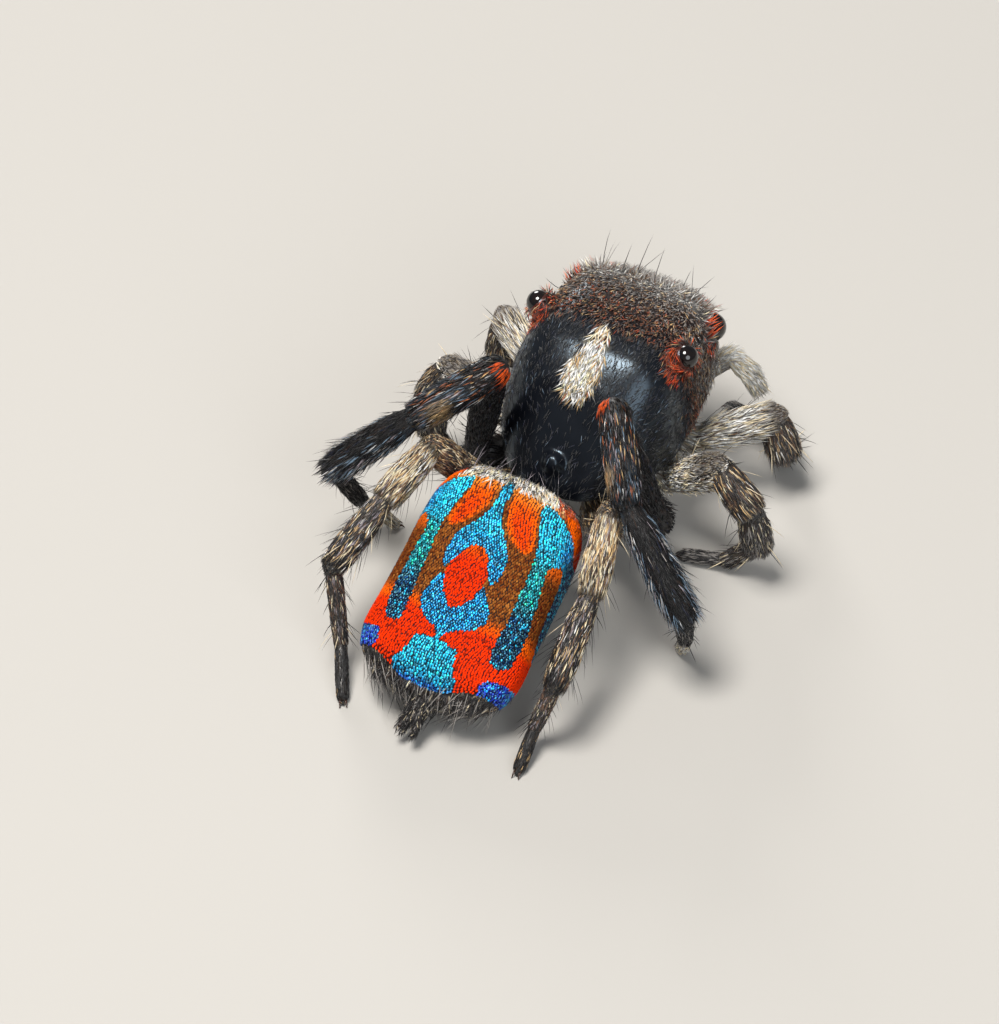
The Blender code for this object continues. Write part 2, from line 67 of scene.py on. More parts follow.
def node_middle(name: str) -> Array:
    """Middle of a solid's box, in metres.

    Args:
        name: the node's name.

    Returns:
        The point.
    """
    low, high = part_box(name)
    return (np.array(low) + np.array(high)) / 2


def frame_origin() -> Array:
    """Where the spider's own frame has its origin, in metres, found from its rear eyes."""
    middle = (node_middle("eye_rear_side_R") + node_middle("eye_rear_side_L")) / 2
    return middle - np.array((0, EYE_REAR[1], EYE_REAR[2])) * MM


ORIGIN = frame_origin()


def srgb(red: float, green: float, blue: float) -> tuple[float, float, float]:
    """A colour seen on screen as the linear values that shaders use.

    Args:
        red: its red part, up to 255.
        green: its green part.
        blue: its blue part.

    Returns:
        The three linear values.
    """
    out = []
    for value in (red, green, blue):
        v = value / 255
        out.append(v / 12.92 if v <= .04045 else ((v + .055) / 1.055) ** 2.4)
    return tuple(out)


class Paint(Enum):
    """Named hair and scale colours."""

    BLACK = srgb(10, 10, 13)
    SOOT = srgb(30, 27, 28)
    BROWN = srgb(116, 84, 60)
    UMBER = srgb(58, 40, 31)
    RUST = srgb(186, 78, 32)
    COPPER = srgb(166, 96, 60)
    ORANGE = srgb(240, 92, 20)
    STRAW = srgb(212, 176, 124)
    CREAM = srgb(242, 224, 188)
    WHITE = srgb(244, 242, 236)
    GREY = srgb(158, 152, 146)
    LILAC = srgb(150, 140, 146)
    STEEL = srgb(104, 124, 142)
    NAVY_HAIR = srgb(28, 34, 58)
    FAN_RED = srgb(232, 50, 0)
    FAN_ORANGE = srgb(240, 100, 4)
    FAN_OCHRE = srgb(119, 78, 31)
    FAN_CYAN = srgb(34, 168, 206)
    FAN_BLUE = srgb(22, 92, 158)
    FAN_TEAL = srgb(16, 104, 104)
    FAN_NAVY = srgb(14, 28, 70)
    FAN_ROYAL = srgb(34, 52, 160)
    FAN_GREEN = srgb(40, 200, 150)
    FAN_GOLD = srgb(238, 146, 52)

    @property
    def rgb(self) -> Array:
        """The colour as an array."""
        return np.array(self.value)


def columns(*given: Array) -> Array:
    """Arrays side by side, as columns."""
    return np.stack(given, axis=1)


def unit(v: Array) -> Array:
    """Vectors at length one, along the last axis."""
    v = np.asarray(v, float)
    return v / np.maximum(np.linalg.norm(v, axis=-1, keepdims=True), 1e-12)


def curve(xs: list[float], ys: list[float], x: Array) -> Array:
    """Smooth values between stations, with no overshoot.

    Args:
        xs: rising stations.
        ys: their values.
        x: where the values are wanted.

    Returns:
        The values, in the shape of x.
    """
    xs = np.asarray(xs, float)
    ys = np.asarray(ys, float)
    step = np.diff(xs)
    slope = np.diff(ys) / step
    tangent = np.zeros(len(xs))
    tangent[0] = slope[0]
    tangent[-1] = slope[-1]
    same = slope[:-1] * slope[1:] > 0
    total = np.where(same, slope[:-1] + slope[1:], 1)
    tangent[1:-1] = np.where(same, 2 * slope[:-1] * slope[1:] / total, 0)
    x = np.clip(np.asarray(x, float), xs[0], xs[-1])
    i = np.clip(np.searchsorted(xs, x, side="right") - 1, 0, len(xs) - 2)
    t = (x - xs[i]) / step[i]
    a = (1 + 2 * t) * (1 - t) ** 2
    b = t * (1 - t) ** 2
    c = t * t * (3 - 2 * t)
    d = t * t * (t - 1)
    return a * ys[i] + b * step[i] * tangent[i] + c * ys[i + 1] + d * step[i] * tangent[i + 1]


def power(value: Array, exponent: Array | float) -> Array:
    """Signed power, for rounded box sections."""
    return np.sign(value) * np.abs(value) ** exponent


def smooth(low: float, high: float, x: Array) -> Array:
    """Smooth step from 0 at low to 1 at high."""
    t = np.clip((x - low) / (high - low), 0, 1)
    return t * t * (3 - 2 * t)


def blend(a: Array, b: Array, share: Array) -> Array:
    """Mixes colours row by row."""
    return a + (b - a) * np.asarray(share)[..., None]


def wobble(p: Array, scale: float, seed: int) -> Array:
    """Soft random value from 0 to 1 that changes over space.

    Args:
        p: points, one a row.
        scale: how many changes there are in a millimetre.
        seed: picks the pattern.

    Returns:
        One value for each point.
    """
    rng = np.random.default_rng(seed)
    total = np.zeros(len(p))
    for _ in range(6):
        way = unit(rng.normal(size=3)) * scale * rng.uniform(.6, 1.5)
        total += np.sin(p @ way * TURN + rng.uniform(0, 6.28))
    return np.clip(.5 + total / 7, 0, 1)


class Value:
    """A shader socket that Python's operators work on."""

    def __init__(self, shader: "Shader", socket: bpy.types.NodeSocket) -> None:
        """Keeps the shader and one of its output sockets."""
        self.shader = shader
        self.socket = socket

    def _math(self, operation: str, a: "Value | float", b: "Value | float") -> "Value":
        """Adds one Math node."""
        return self.shader.node("ShaderNodeMath", {"operation": operation}, {0: a, 1: b})

    def __add__(self, other: "Value | float") -> "Value":
        """Sum."""
        return self._math("ADD", self, other)

    def __radd__(self, other: "Value | float") -> "Value":
        """Sum with a number first."""
        return self._math("ADD", other, self)

    def __rsub__(self, other: "Value | float") -> "Value":
        """Difference with a number first."""
        return self._math("SUBTRACT", other, self)

    def __mul__(self, other: "Value | float") -> "Value":
        """Product."""
        return self._math("MULTIPLY", self, other)

    def between(self, low: float, high: float) -> "Value":
        """Smooth step of this value from low to high.

        Args:
            low: the value at which the step starts.
            high: the value at which it ends.

        Returns:
            The result.
        """
        settings = {"interpolation_type": "SMOOTHSTEP"}
        return self.shader.node("ShaderNodeMapRange", settings,
                                {"Value": self, "From Min": low, "From Max": high})


class Nodes:
    """A node tree, with a way to add nodes to it."""

    def __init__(self, tree: bpy.types.NodeTree) -> None:
        """Keeps the tree."""
        self.tree = tree

    def add(self, kind: str, settings: dict, inputs: dict) -> bpy.types.Node:
        """Adds one node with its settings, numbers and links.

        Args:
            kind: the node's type.
            settings: its properties, set first.
            inputs: sockets or numbers, by socket name or number.

        Returns:
            The node.
        """
        made = self.tree.nodes.new(kind)
        for key, setting in settings.items():
            setattr(made, key, setting)
        for key, given in inputs.items():
            socket = made.inputs[key]
            if not socket.enabled:
                socket = next(s for s in made.inputs if s.name == key and s.enabled)
            self.feed(socket, given)
        return made

    def feed(self, socket: bpy.types.NodeSocket, given: object) -> None:
        """Links a value to a socket, or sets the socket's own number or colour.

        Args:
            socket: the socket.
            given: a value, a number or a colour.
        """
        if isinstance(given, Value):
            given = given.socket
        if isinstance(given, bpy.types.NodeSocket):
            self.tree.links.new(given, socket)
        elif isinstance(given, (tuple, np.ndarray)):
            socket.default_value = (*[float(c) for c in given], 1.0)
        else:
            socket.default_value = given


class Shader(Nodes):
    """One material, with a Principled BSDF and a way to work out its inputs."""

    def __init__(self, name: str) -> None:
        """Starts the material.

        Args:
            name: its name.
        """
        self.material = bpy.data.materials.new(name)
        self.material.use_nodes = True
        super().__init__(self.material.node_tree)
        self.surface = self.tree.nodes["Principled BSDF"]

    def node(self, kind: str, settings: dict, inputs: dict, output: int | str = 0) -> Value:
        """Adds one node and gives one of its outputs as a value."""
        return Value(self, self.add(kind, settings, inputs).outputs[output])

    def set(self, **inputs: object) -> None:
        """Feeds the surface's sockets; an underscore in a name stands for a space."""
        for key, given in inputs.items():
            self.feed(self.surface.inputs[key.replace("_", " ")], given)

    def place(self) -> Value:
        """Object coordinates."""
        return self.node("ShaderNodeTexCoord", {}, {}, "Object")

    def attribute(self, name: str, output: str) -> Value:
        """A named attribute's colour or number."""
        return self.node("ShaderNodeAttribute", {"attribute_name": name}, {}, output)

    def noise(self, per_mm: float, detail: float) -> Value:
        """Noise with so many changes in a millimetre."""
        return self.node("ShaderNodeTexNoise", {}, {"Vector": self.place(), "Detail": detail,
                                                    "Scale": per_mm / MM})

    def cells(self, per_mm: float) -> Value:
        """Distance to the nearest cell centre, with so many cells in a millimetre."""
        return self.node("ShaderNodeTexVoronoi", {}, {"Vector": self.place(),
                                                      "Scale": per_mm / MM})

    def mix(self, share: "Value | float", a: object, b: object, mode: str = "MIX") -> Value:
        """Mixes two colours."""
        settings = {"data_type": "RGBA", "blend_type": mode}
        return self.node("ShaderNodeMix", settings, {0: share, 6: a, 7: b}, 2)

    def grey(self, value: Value) -> Value:
        """A number as a grey colour."""
        return self.node("ShaderNodeCombineColor", {}, {0: value, 1: value, 2: value})

    def bump(self, height: Value, depth_mm: float) -> None:
        """Gives the surface relief of so many millimetres."""
        self.set(Normal=self.node("ShaderNodeBump", {}, {"Height": height, "Strength": 1.0,
                                                         "Distance": depth_mm * MM}))


@dataclass(frozen=True)
class Finish:
    """A named finish that can make its material."""

    name: str

    def lay(self, s: Shader) -> None:
        """Sets the surface of the material; each finish has its own way."""
        raise NotImplementedError

    def build(self) -> bpy.types.Material:
        """Makes the material.

        Returns:
            The material.
        """
        s = Shader(self.name)
        self.lay(s)
        return s.material


@dataclass(frozen=True)
class HairFinish(Finish):
    """Hair whose colour comes from each tuft, darker at its root."""

    roughness: float = .42
    root_shade: float = .58
    sheen: float = .15
    specular: float = .5

    def lay(self, s: Shader) -> None:
        """Sets the surface.

        Args:
            s: the material's shader.
        """
        tint = s.attribute("tint", "Color")
        along = s.attribute("along", "Fac")
        grain = s.noise(40, 2)
        shade = (along * (1 - self.root_shade) + self.root_shade) * (grain * .5 + .75)
        s.set(Base_Color=s.mix(1.0, tint, s.grey(shade), "MULTIPLY"))
        s.set(Roughness=self.roughness + grain * .16)
        s.set(Specular_IOR_Level=self.specular, Sheen_Weight=self.sheen, Sheen_Roughness=.4)


@dataclass(frozen=True)
class ScaleFinish(Finish):
    """Fan scales: matt pigment in the warm colours, a metal gleam in the blue ones."""

    def lay(self, s: Shader) -> None:
        """Sets the surface.

        Args:
            s: the material's shader.
        """
        tint = s.attribute("tint", "Color")
        gleam = s.attribute("gleam", "Fac")
        fleck = s.noise(55, 1)
        warm = s.mix(fleck * .35, tint, (.35, .02, .0))
        cool = s.mix(fleck.between(.45, .75) * .35, tint, (.30, .85, .95))
        s.set(Base_Color=s.mix(gleam, warm, cool))
        s.set(Metallic=gleam * .6, Roughness=.62 - gleam * .34 + fleck * .12)
        s.set(Specular_IOR_Level=.06)


@dataclass(frozen=True)
class FanSkinFinish(Finish):
    """The plate under the scales, in the same markings, with the scales' roots as relief."""

    def lay(self, s: Shader) -> None:
        """Sets the surface.

        Args:
            s: the material's shader.
        """
        tint = s.attribute("tint", "Color")
        cell = s.cells(34)
        s.set(Base_Color=s.mix(cell.between(.0, .4) * .5 + .45, tint, (.005, .004, .006)))
        s.set(Roughness=.45 + cell * .2)
        s.set(Specular_IOR_Level=.08)
        s.bump(1 - cell, .008)


@dataclass(frozen=True)
class ShellFinish(Finish):
    """Hard polished shell with fine pits and a colour painted on its points."""

    polish: float = .12
    pits_per_mm: float = 46
    pit_depth: float = .0010

    def lay(self, s: Shader) -> None:
        """Sets the surface.

        Args:
            s: the material's shader.
        """
        tint = s.attribute("tint", "Color")
        cloud = s.noise(3.5, 4)
        pit = s.cells(self.pits_per_mm)
        fine = s.noise(90, 2)
        s.set(Base_Color=s.mix(cloud * .4, tint, (.004, .005, .009)))
        s.set(Roughness=self.polish + cloud * .16 + fine * .06)
        s.set(Coat_Weight=cloud * .6 + .10, Coat_Roughness=.36, Specular_IOR_Level=.36)
        s.set(Specular_Tint=(.60, .82, 1.0), Coat_Tint=(.78, .91, 1.0))
        s.bump(pit.between(.0, .5) + fine * .25, self.pit_depth)


@dataclass(frozen=True)
class SkinFinish(Finish):
    """Tough wrinkled skin under the hair, with the coat's markings."""

    def lay(self, s: Shader) -> None:
        """Sets the surface.

        Args:
            s: the material's shader.
        """
        tint = s.attribute("tint", "Color")
        broad = s.noise(6, 4)
        fine = s.noise(48, 3)
        pores = s.cells(30)
        s.set(Base_Color=s.mix(broad * .55, tint, (.012, .009, .008)))
        s.set(Roughness=.36 + fine * .22)
        s.set(Coat_Weight=broad * .2)
        s.bump(fine * .6 + pores.between(0, .4), .006)


@dataclass(frozen=True)
class LensFinish(Finish):
    """A wet black eye with a faint warm depth."""

    depth: tuple[float, float, float] = (.009, .005, .004)

    def lay(self, s: Shader) -> None:
        """Sets the surface.

        Args:
            s: the material's shader.
        """
        cloud = s.noise(9, 3)
        s.set(Base_Color=s.mix(cloud.between(.35, .7), (.002, .002, .003), self.depth))
        s.set(Roughness=.05 + cloud * .03, IOR=1.45)
        s.set(Coat_Weight=.2 + cloud * .2, Coat_Roughness=.03)


@dataclass(frozen=True)
class HornFinish(Finish):
    """Claws and fangs: polished dark horn, mottled with a redder brown."""

    def lay(self, s: Shader) -> None:
        """Sets the surface.

        Args:
            s: the material's shader.
        """
        grain = s.noise(30, 3)
        s.set(Base_Color=s.mix(grain, (.010, .006, .004), (.06, .018, .007)))
        s.set(Roughness=.2 + grain * .15, Coat_Weight=.3 + grain * .2)
        s.bump(grain, .002)


@dataclass(frozen=True)
class FloorFinish(Finish):
    """Plain pale studio floor."""

    def lay(self, s: Shader) -> None:
        """Sets the surface."""
        s.set(Base_Color=(.40, .385, .36), Roughness=.85)


def to_metres(points: Array) -> Array:
    """Places points of the spider's frame in the row frame."""
    return np.asarray(points, float) * MM + ORIGIN


def new_object(name: str, data: bpy.types.ID) -> bpy.types.Object:
    """Makes an object of a mesh, a light or a camera and links it to the scene.

    Args:
        name: its name.
        data: what it shows.

    Returns:
        The object.
    """
    obj = bpy.data.objects.new(name, data)
    bpy.context.scene.collection.objects.link(obj)
    return obj


def store(mesh: bpy.types.Mesh, name: str, kind: str, rows: Array) -> None:
    """Stores a number, a vector or a colour on each point of a mesh.

    Args:
        mesh: the mesh.
        name: the attribute's name.
        kind: the attribute's type.
        rows: one row for each point.
    """
    layer = mesh.attributes.new(name, kind, "POINT")
    key = {"FLOAT": "value", "FLOAT_VECTOR": "vector", "FLOAT_COLOR": "color"}[kind]
    layer.data.foreach_set(key, rows.astype(np.float32).ravel())


def paint(mesh: bpy.types.Mesh, tint: Array) -> None:
    """Stores a colour on each point."""
    tint = np.clip(tint, 0, 1)
    store(mesh, "tint", "FLOAT_COLOR", columns(*tint.T, np.ones(len(tint))))


def mesh_object(name: str, points: Array, faces: list,
                finish: bpy.types.Material | None = None) -> bpy.types.Object:
    """Makes a smooth-shaded object with its faces turned outwards.

    Args:
        name: the object's name.
        points: millimetres in the spider's frame.
        faces: tuples of point numbers.
        finish: its material; without one the mesh stays in millimetres, to be worked on.

    Returns:
        The object, linked to the scene.
    """
    points = np.asarray(points, float)
    mesh = bpy.data.meshes.new(name)
    mesh.from_pydata((points if finish is None else to_metres(points)).tolist(), [], faces)
    bm = bmesh.new()
    bm.from_mesh(mesh)
    bmesh.ops.recalc_face_normals(bm, faces=bm.faces[:])
    bm.to_mesh(mesh)
    bm.free()
    mesh.shade_smooth()
    if finish is not None:
        mesh.materials.append(finish)
    return new_object(name, mesh)


def coordinates(mesh: bpy.types.Mesh) -> Array:
    """A mesh's points as they are stored.

    Args:
        mesh: the mesh.

    Returns:
        One point a row.
    """
    flat = np.zeros(len(mesh.vertices) * 3, np.float32)
    mesh.vertices.foreach_get("co", flat)
    return flat.reshape(-1, 3).astype(float)


def points_of(obj: bpy.types.Object) -> Array:
    """An object's points, back in the spider's frame."""
    return (coordinates(obj.data) - ORIGIN) / MM


def ring_faces(rows: int, count: int) -> list:
    """The four-sided faces between so many closed rings of equal count."""
    return [(i + k, i + (k + 1) % count, i + count + (k + 1) % count, i + count + k)
            for i in range(0, (rows - 1) * count, count) for k in range(count)]


def loft(rings: Array) -> tuple[Array, list]:
    """Closed body from rings of equal count, with a point at each end.

    Args:
        rings: array of rows, points round, 3.

    Returns:
        Points and faces.
    """
    rings = np.asarray(rings, float)
    rows, count = rings.shape[:2]
    ends = [rings[0].mean(0)[None], rings[-1].mean(0)[None]]
    points = np.concatenate([rings.reshape(-1, 3), *ends])
    faces = ring_faces(rows, count)
    first, last = rows * count, rows * count + 1
    for k in range(count):
        n = (k + 1) % count
        faces.append((n, k, first))
        faces.append((first - count + k, first - count + n, last))
    return points, faces


def join(parts: list[tuple[Array, list]]) -> tuple[Array, list]:
    """Several bodies' points and faces as one list of each.

    Args:
        parts: points and faces of each.

    Returns:
        Points and faces.
    """
    points, faces, start = [], [], 0
    for some, theirs in parts:
        points.append(some)
        faces += [tuple(start + i for i in f) for f in theirs]
        start += len(some)
    return np.concatenate(points), faces


@dataclass
class Batch:
    """Roots of tufts, one a row, in millimetres in the spider's frame."""

    root: Array
    way: Array
    normal: Array
    length: Array
    width: Array
    tint: Array
    lean: Array
    spot: Array
    gleam: Array | None = None

    def __post_init__(self) -> None:
        """Hair has no metal gleam."""
        if self.gleam is None:
            self.gleam = np.zeros(len(self.root))

    @staticmethod
    def merge(batches: list["Batch"]) -> "Batch":
        """Puts several batches in one."""
        columns_of_each = zip(*(vars(batch).values() for batch in batches))
        return Batch(*[np.concatenate(rows) for rows in columns_of_each])

    def keep(self, chosen: Array) -> "Batch":
        """The rows that are chosen."""
        return Batch(*[rows[chosen] for rows in vars(self).values()])

    def above_floor(self) -> "Batch":
        """The rows whose roots and tips stay over the floor."""
        tip = self.root + self.way * self.length[:, None] + self.lean
        return self.keep((tip[:, 2] > .004) & (self.root[:, 2] > .010))


@dataclass(frozen=True)
class Blade:
    """The shape that a tuft repeats: it runs along x at length 1 and width 1."""

    name: str
    stations: tuple[tuple[float, float], ...] = ((0, .75), (.48, 1.0))
    thick: float = .45

    def build(self) -> bpy.types.Object:
        """A three-sided blade that tapers to a point.

        Returns:
            The object.
        """
        points = []
        for x, width in self.stations:
            points += [(x, -width / 2, 0), (x, width / 2, 0), (x, 0, width * self.thick)]
        tip = len(points)
        points.append((1.0, 0, self.thick * .2))
        faces = [(2, 1, 0)] + ring_faces(len(self.stations), 3)
        faces += [(tip - 3 + k, tip - 3 + (k + 1) % 3, tip) for k in range(3)]
        return prototype(self.name, points, faces)


@dataclass(frozen=True)
class ScaleShape:
    """The shape that a fan scale repeats: a low dome with a rounded free end."""

    name: str
    sides: int = 7
    height: float = .30

    def build(self) -> bpy.types.Object:
        """A domed scale, closed below.

        Returns:
            The object.
        """
        points, count = [], self.sides
        for size, z in ((.86, -.12), (1.0, .0), (.62, self.height * .8)):
            for k in range(count):
                turn = TURN * k / count
                points.append((size * .5 * math.cos(turn) + .5, size * .5 * math.sin(turn), z))
        points.append((.52, 0, self.height))
        faces = ring_faces(3, count)
        faces += [(2 * count + k, 2 * count + (k + 1) % count, 3 * count) for k in range(count)]
        faces.append(tuple(reversed(range(count))))
        return prototype(self.name, points, faces)


def prototype(name: str, points: list, faces: list) -> bpy.types.Object:
    """A unit shape with the two attributes that the tuft tree reads.

    Args:
        name: the object's name.
        points: places in unit size.
        faces: tuples of point numbers.

    Returns:
        The object; it is removed when its tufts are made.
    """
    mesh = bpy.data.meshes.new(name)
    mesh.from_pydata(points, [], faces)
    mesh.shade_smooth()
    x, y, z = np.array(points, float).T
    store(mesh, "along", "FLOAT", np.clip(x, 0, 1))
    store(mesh, "patch", "FLOAT_VECTOR", columns(x - .5, y + z, z * 0))
    return new_object(name, mesh)


class TuftTree(Nodes):
    """Geometry Nodes that set a shape on every root, bend it and give it its bake map."""

    def __init__(self, name: str) -> None:
        """Builds the tree.

        Args:
            name: its name.
        """
        super().__init__(bpy.data.node_groups.new(name, "GeometryNodeTree"))
        face = self.tree.interface
        for given, kind in (("Geometry", "Geometry"), ("Tuft", "Object"), ("Finish", "Material"),
                            ("Curl", "Float"), ("Patch", "Float")):
            face.new_socket(given, in_out="INPUT", socket_type=f"NodeSocket{kind}")
        face.new_socket("Geometry", in_out="OUTPUT", socket_type="NodeSocketGeometry")
        self.given = self.add("NodeGroupInput", {}, {})
        tuft = self.add("GeometryNodeObjectInfo", {}, {"Object": self.given.outputs["Tuft"]})
        placed = self.add("GeometryNodeInstanceOnPoints", {}, {
            "Points": self.given.outputs["Geometry"], "Instance": tuft.outputs["Geometry"],
            "Rotation": self.named("turn"), "Scale": self.named("size")})
        real = self.add("GeometryNodeRealizeInstances", {}, {"Geometry": placed.outputs[0]})
        reach = self.maths("MULTIPLY", self.named("along", "FLOAT"), self.named("along", "FLOAT"))
        reach = self.maths("MULTIPLY", reach, self.given.outputs["Curl"])
        bend = self.vector("SCALE", {0: self.named("lean"), "Scale": reach})
        bent = self.add("GeometryNodeSetPosition", {}, {"Geometry": real.outputs[0],
                                                       "Offset": bend})
        patch = self.vector("SCALE", {0: self.named("patch"),
                                      "Scale": self.given.outputs["Patch"]})
        spot = self.vector("ADD", {0: self.named("spot"), 1: patch})
        mapped = self.add("GeometryNodeStoreNamedAttribute",
                          {"data_type": "FLOAT2", "domain": "CORNER"},
                          {"Geometry": bent.outputs[0], "Name": BAKE_MAP, "Value": spot})
        done = self.add("GeometryNodeSetMaterial", {}, {
            "Geometry": mapped.outputs[0], "Material": self.given.outputs["Finish"]})
        self.add("NodeGroupOutput", {}, {"Geometry": done.outputs[0]})

    def named(self, name: str, kind: str = "FLOAT_VECTOR") -> bpy.types.NodeSocket:
        """A named attribute's output."""
        made = self.add("GeometryNodeInputNamedAttribute", {"data_type": kind}, {"Name": name})
        return next(s for s in made.outputs if s.enabled and s.name == "Attribute")

    def maths(self, operation: str, a: object, b: object) -> bpy.types.NodeSocket:
        """One number from two."""
        return self.add("ShaderNodeMath", {"operation": operation}, {0: a, 1: b}).outputs[0]

    def vector(self, operation: str, inputs: dict) -> bpy.types.NodeSocket:
        """One vector from the inputs."""
        return self.add("ShaderNodeVectorMath", {"operation": operation}, inputs).outputs[0]

    def identifier(self, name: str) -> str:
        """The identifier of a named input."""
        return next(i.identifier for i in self.tree.interface.items_tree
                    if i.name == name and i.in_out == "INPUT")

    def grow(self, name: str, batch: Batch, shape: Blade | ScaleShape,
             finish: bpy.types.Material, curl: float = 1.0) -> bpy.types.Object:
        """Makes one coat piece.

        Args:
            name: the piece's name.
            batch: the roots.
            shape: what stands on each root.
            finish: its material.
            curl: how strongly each tuft bends by its lean.

        Returns:
            The piece as a plain mesh.
        """
        proto = shape.build()
        roots = root_object(name + "_roots", batch)
        modifier = roots.modifiers.new("tufts", "NODES")
        modifier.node_group = self.tree
        for key, given in (("Tuft", proto), ("Finish", finish), ("Curl", curl), ("Patch", PATCH)):
            modifier[self.identifier(key)] = given
        bpy.context.view_layer.update()
        graph = bpy.context.evaluated_depsgraph_get()
        mesh = bpy.data.meshes.new_from_object(roots.evaluated_get(graph), depsgraph=graph,
                                               preserve_all_data_layers=True)
        mesh.name = name
        for extra in ("turn", "size", "lean", "spot", "patch"):
            if extra in mesh.attributes:
                mesh.attributes.remove(mesh.attributes[extra])
        bpy.data.objects.remove(roots)
        bpy.data.objects.remove(proto)
        return new_object(name, mesh)


def root_object(name: str, batch: Batch) -> bpy.types.Object:
    """Points that carry each tuft's turn, size, bend, colour and place on the bake map.

    Args:
        name: the object's name.
        batch: the roots.

    Returns:
        The object; it is removed when its tufts are made.
    """
    x = unit(batch.way)
    y = unit(np.cross(batch.normal, x))
    z = np.cross(x, y)
    turn = columns(np.arctan2(y[:, 2], z[:, 2]), -np.arcsin(np.clip(x[:, 2], -1, 1)),
                   np.arctan2(x[:, 1], x[:, 0]))
    mesh = bpy.data.meshes.new(name)
    mesh.vertices.add(len(x))
    mesh.vertices.foreach_set("co", to_metres(batch.root).astype(np.float32).ravel())
    store(mesh, "turn", "FLOAT_VECTOR", turn)
    store(mesh, "size", "FLOAT_VECTOR", columns(batch.length, batch.width, batch.width) * MM)
    store(mesh, "lean", "FLOAT_VECTOR", batch.lean * MM)
    store(mesh, "spot", "FLOAT_VECTOR", columns(*batch.spot.T, np.zeros(len(x))))
    paint(mesh, batch.tint)
    store(mesh, "gleam", "FLOAT", batch.gleam)
    return new_object(name, mesh)


def droop(normal: Array, length: Array, share: float) -> Array:
    """The bend of hair towards the skin, as a share of its length."""
    return -normal * (length * share)[:, None]


def scatter_turn(rng: Rng, way: Array, normal: Array, spread: float, lift: float) -> Array:
    """Turns directions at random about the normal and lifts them off the surface.

    Args:
        rng: the draw.
        way: directions along the surface.
        normal: the surface's normals.
        spread: random turn, in radians.
        lift: how steeply they stand off, in radians.

    Returns:
        The new directions.
    """
    angle = rng.normal(0, spread, len(way))[:, None]
    across = np.cross(normal, way)
    turned = way * np.cos(angle) + across * np.sin(angle)
    rise = (lift * rng.uniform(.5, 1.5, len(way)))[:, None]
    return unit(turned * np.cos(rise) + normal * np.sin(rise))


def scatter(rng: Rng, points: Array, faces: list, count: int) -> tuple[Array, Array]:
    """Random places on a closed mesh, evenly by area.

    Args:
        rng: the draw.
        points: the mesh's points.
        faces: its faces, turned outwards or all inwards.
        count: how many places.

    Returns:
        Places and outward normals.
    """
    corners = np.array([(f[0], f[i], f[i + 1]) for f in faces for i in range(1, len(f) - 1)])
    a, b, c = points[corners[:, 0]], points[corners[:, 1]], points[corners[:, 2]]
    cross = np.cross(b - a, c - a)
    area = np.linalg.norm(cross, axis=1)
    volume = np.sum(a * cross)
    chosen = rng.choice(len(area), count, p=area / area.sum())
    u, v = rng.uniform(0, 1, (2, count, 1))
    flip = (u + v) > 1
    u, v = np.where(flip, 1 - u, u), np.where(flip, 1 - v, v)
    place = a[chosen] + (b - a)[chosen] * u + (c - a)[chosen] * v
    return place, unit(cross[chosen]) * (1 if volume > 0 else -1)


def lie_along(way: Array, normal: Array) -> Array:
    """One direction laid flat on a surface at every normal."""
    flat = way - normal * (normal @ way)[:, None]
    return unit(flat + way * .02)


def pick(rng: Rng, count: int, **shares: float) -> Array:
    """Random colours, each a little lighter or darker.

    Args:
        rng: the draw.
        count: how many colours.
        shares: the weight of each paint, by its name.

    Returns:
        The colours, one a row.
    """
    colours = np.array([Paint[name].rgb for name in shares])
    weights = np.array(list(shares.values()), float)
    chosen = colours[rng.choice(len(colours), count, p=weights / weights.sum())]
    return chosen * rng.uniform(.7, 1.25, (count, 1))


def either(rng: Rng, share: Array | float, a: Array, b: Array) -> Array:
    """Takes each row from a by chance, and from b otherwise."""
    return np.where((rng.uniform(0, 1, len(b)) < share)[:, None], a, b)


LEG_JOINTS = {
    "leg1_R": ((.40, .20, .66), (.68, .26, .62), (1.25, .58, .87), (1.36, .64, .42),
               (1.16, .98, .16), (.86, 1.20, .07), (.52, 1.28, .045)),
    "leg1_L": ((.40, .20, .66), (.68, .26, .62), (1.30, .60, .84), (1.36, .62, .40),
               (1.16, .98, .16), (.86, 1.20, .07), (.52, 1.28, .045)),
    "leg2_R": ((.41, -.19, .65), (.71, -.25, .59), (1.28, -.50, 1.22), (1.62, -.56, .92),
               (1.64, -.44, .40), (1.36, -.47, .12), (.98, -.52, .045)),
    "leg2_L": ((.41, -.19, .65), (.71, -.25, .59), (1.28, -.50, 1.22), (1.46, -.52, .82),
               (1.50, -.44, .34), (1.26, -.47, .11), (.90, -.52, .045)),
    "leg3_R": ((.40, -.56, .66), (.88, -.80, .66), (.57, -1.08, 2.04), (.98, -1.64, 1.67),
               (1.66, -1.88, .86), (1.60, -1.72, .40), (1.47, -1.52, .045)),
    "leg3_L": ((.40, -.56, .66), (.88, -.80, .66), (.58, -1.05, 1.97), (1.03, -1.60, 1.72),
               (1.72, -1.80, .95), (1.57, -1.58, .45), (1.36, -1.35, .045)),
    "leg4_R": ((.29, -.86, .65), (.54, -1.09, .60), (.80, -1.59, 1.41), (.93, -2.16, 1.03),
               (1.01, -2.97, .70), (.88, -3.07, .22), (.91, -3.42, .045)),
    "leg4_L": ((.29, -.86, .65), (.54, -1.09, .60), (.84, -1.67, 1.50), (1.03, -2.14, 1.22),
               (1.14, -2.88, 1.02), (1.00, -3.00, .27), (.78, -3.38, .045)),
}
SEGMENTS = ("coxa", "femur", "patella", "tibia", "metatarsus", "tarsus")
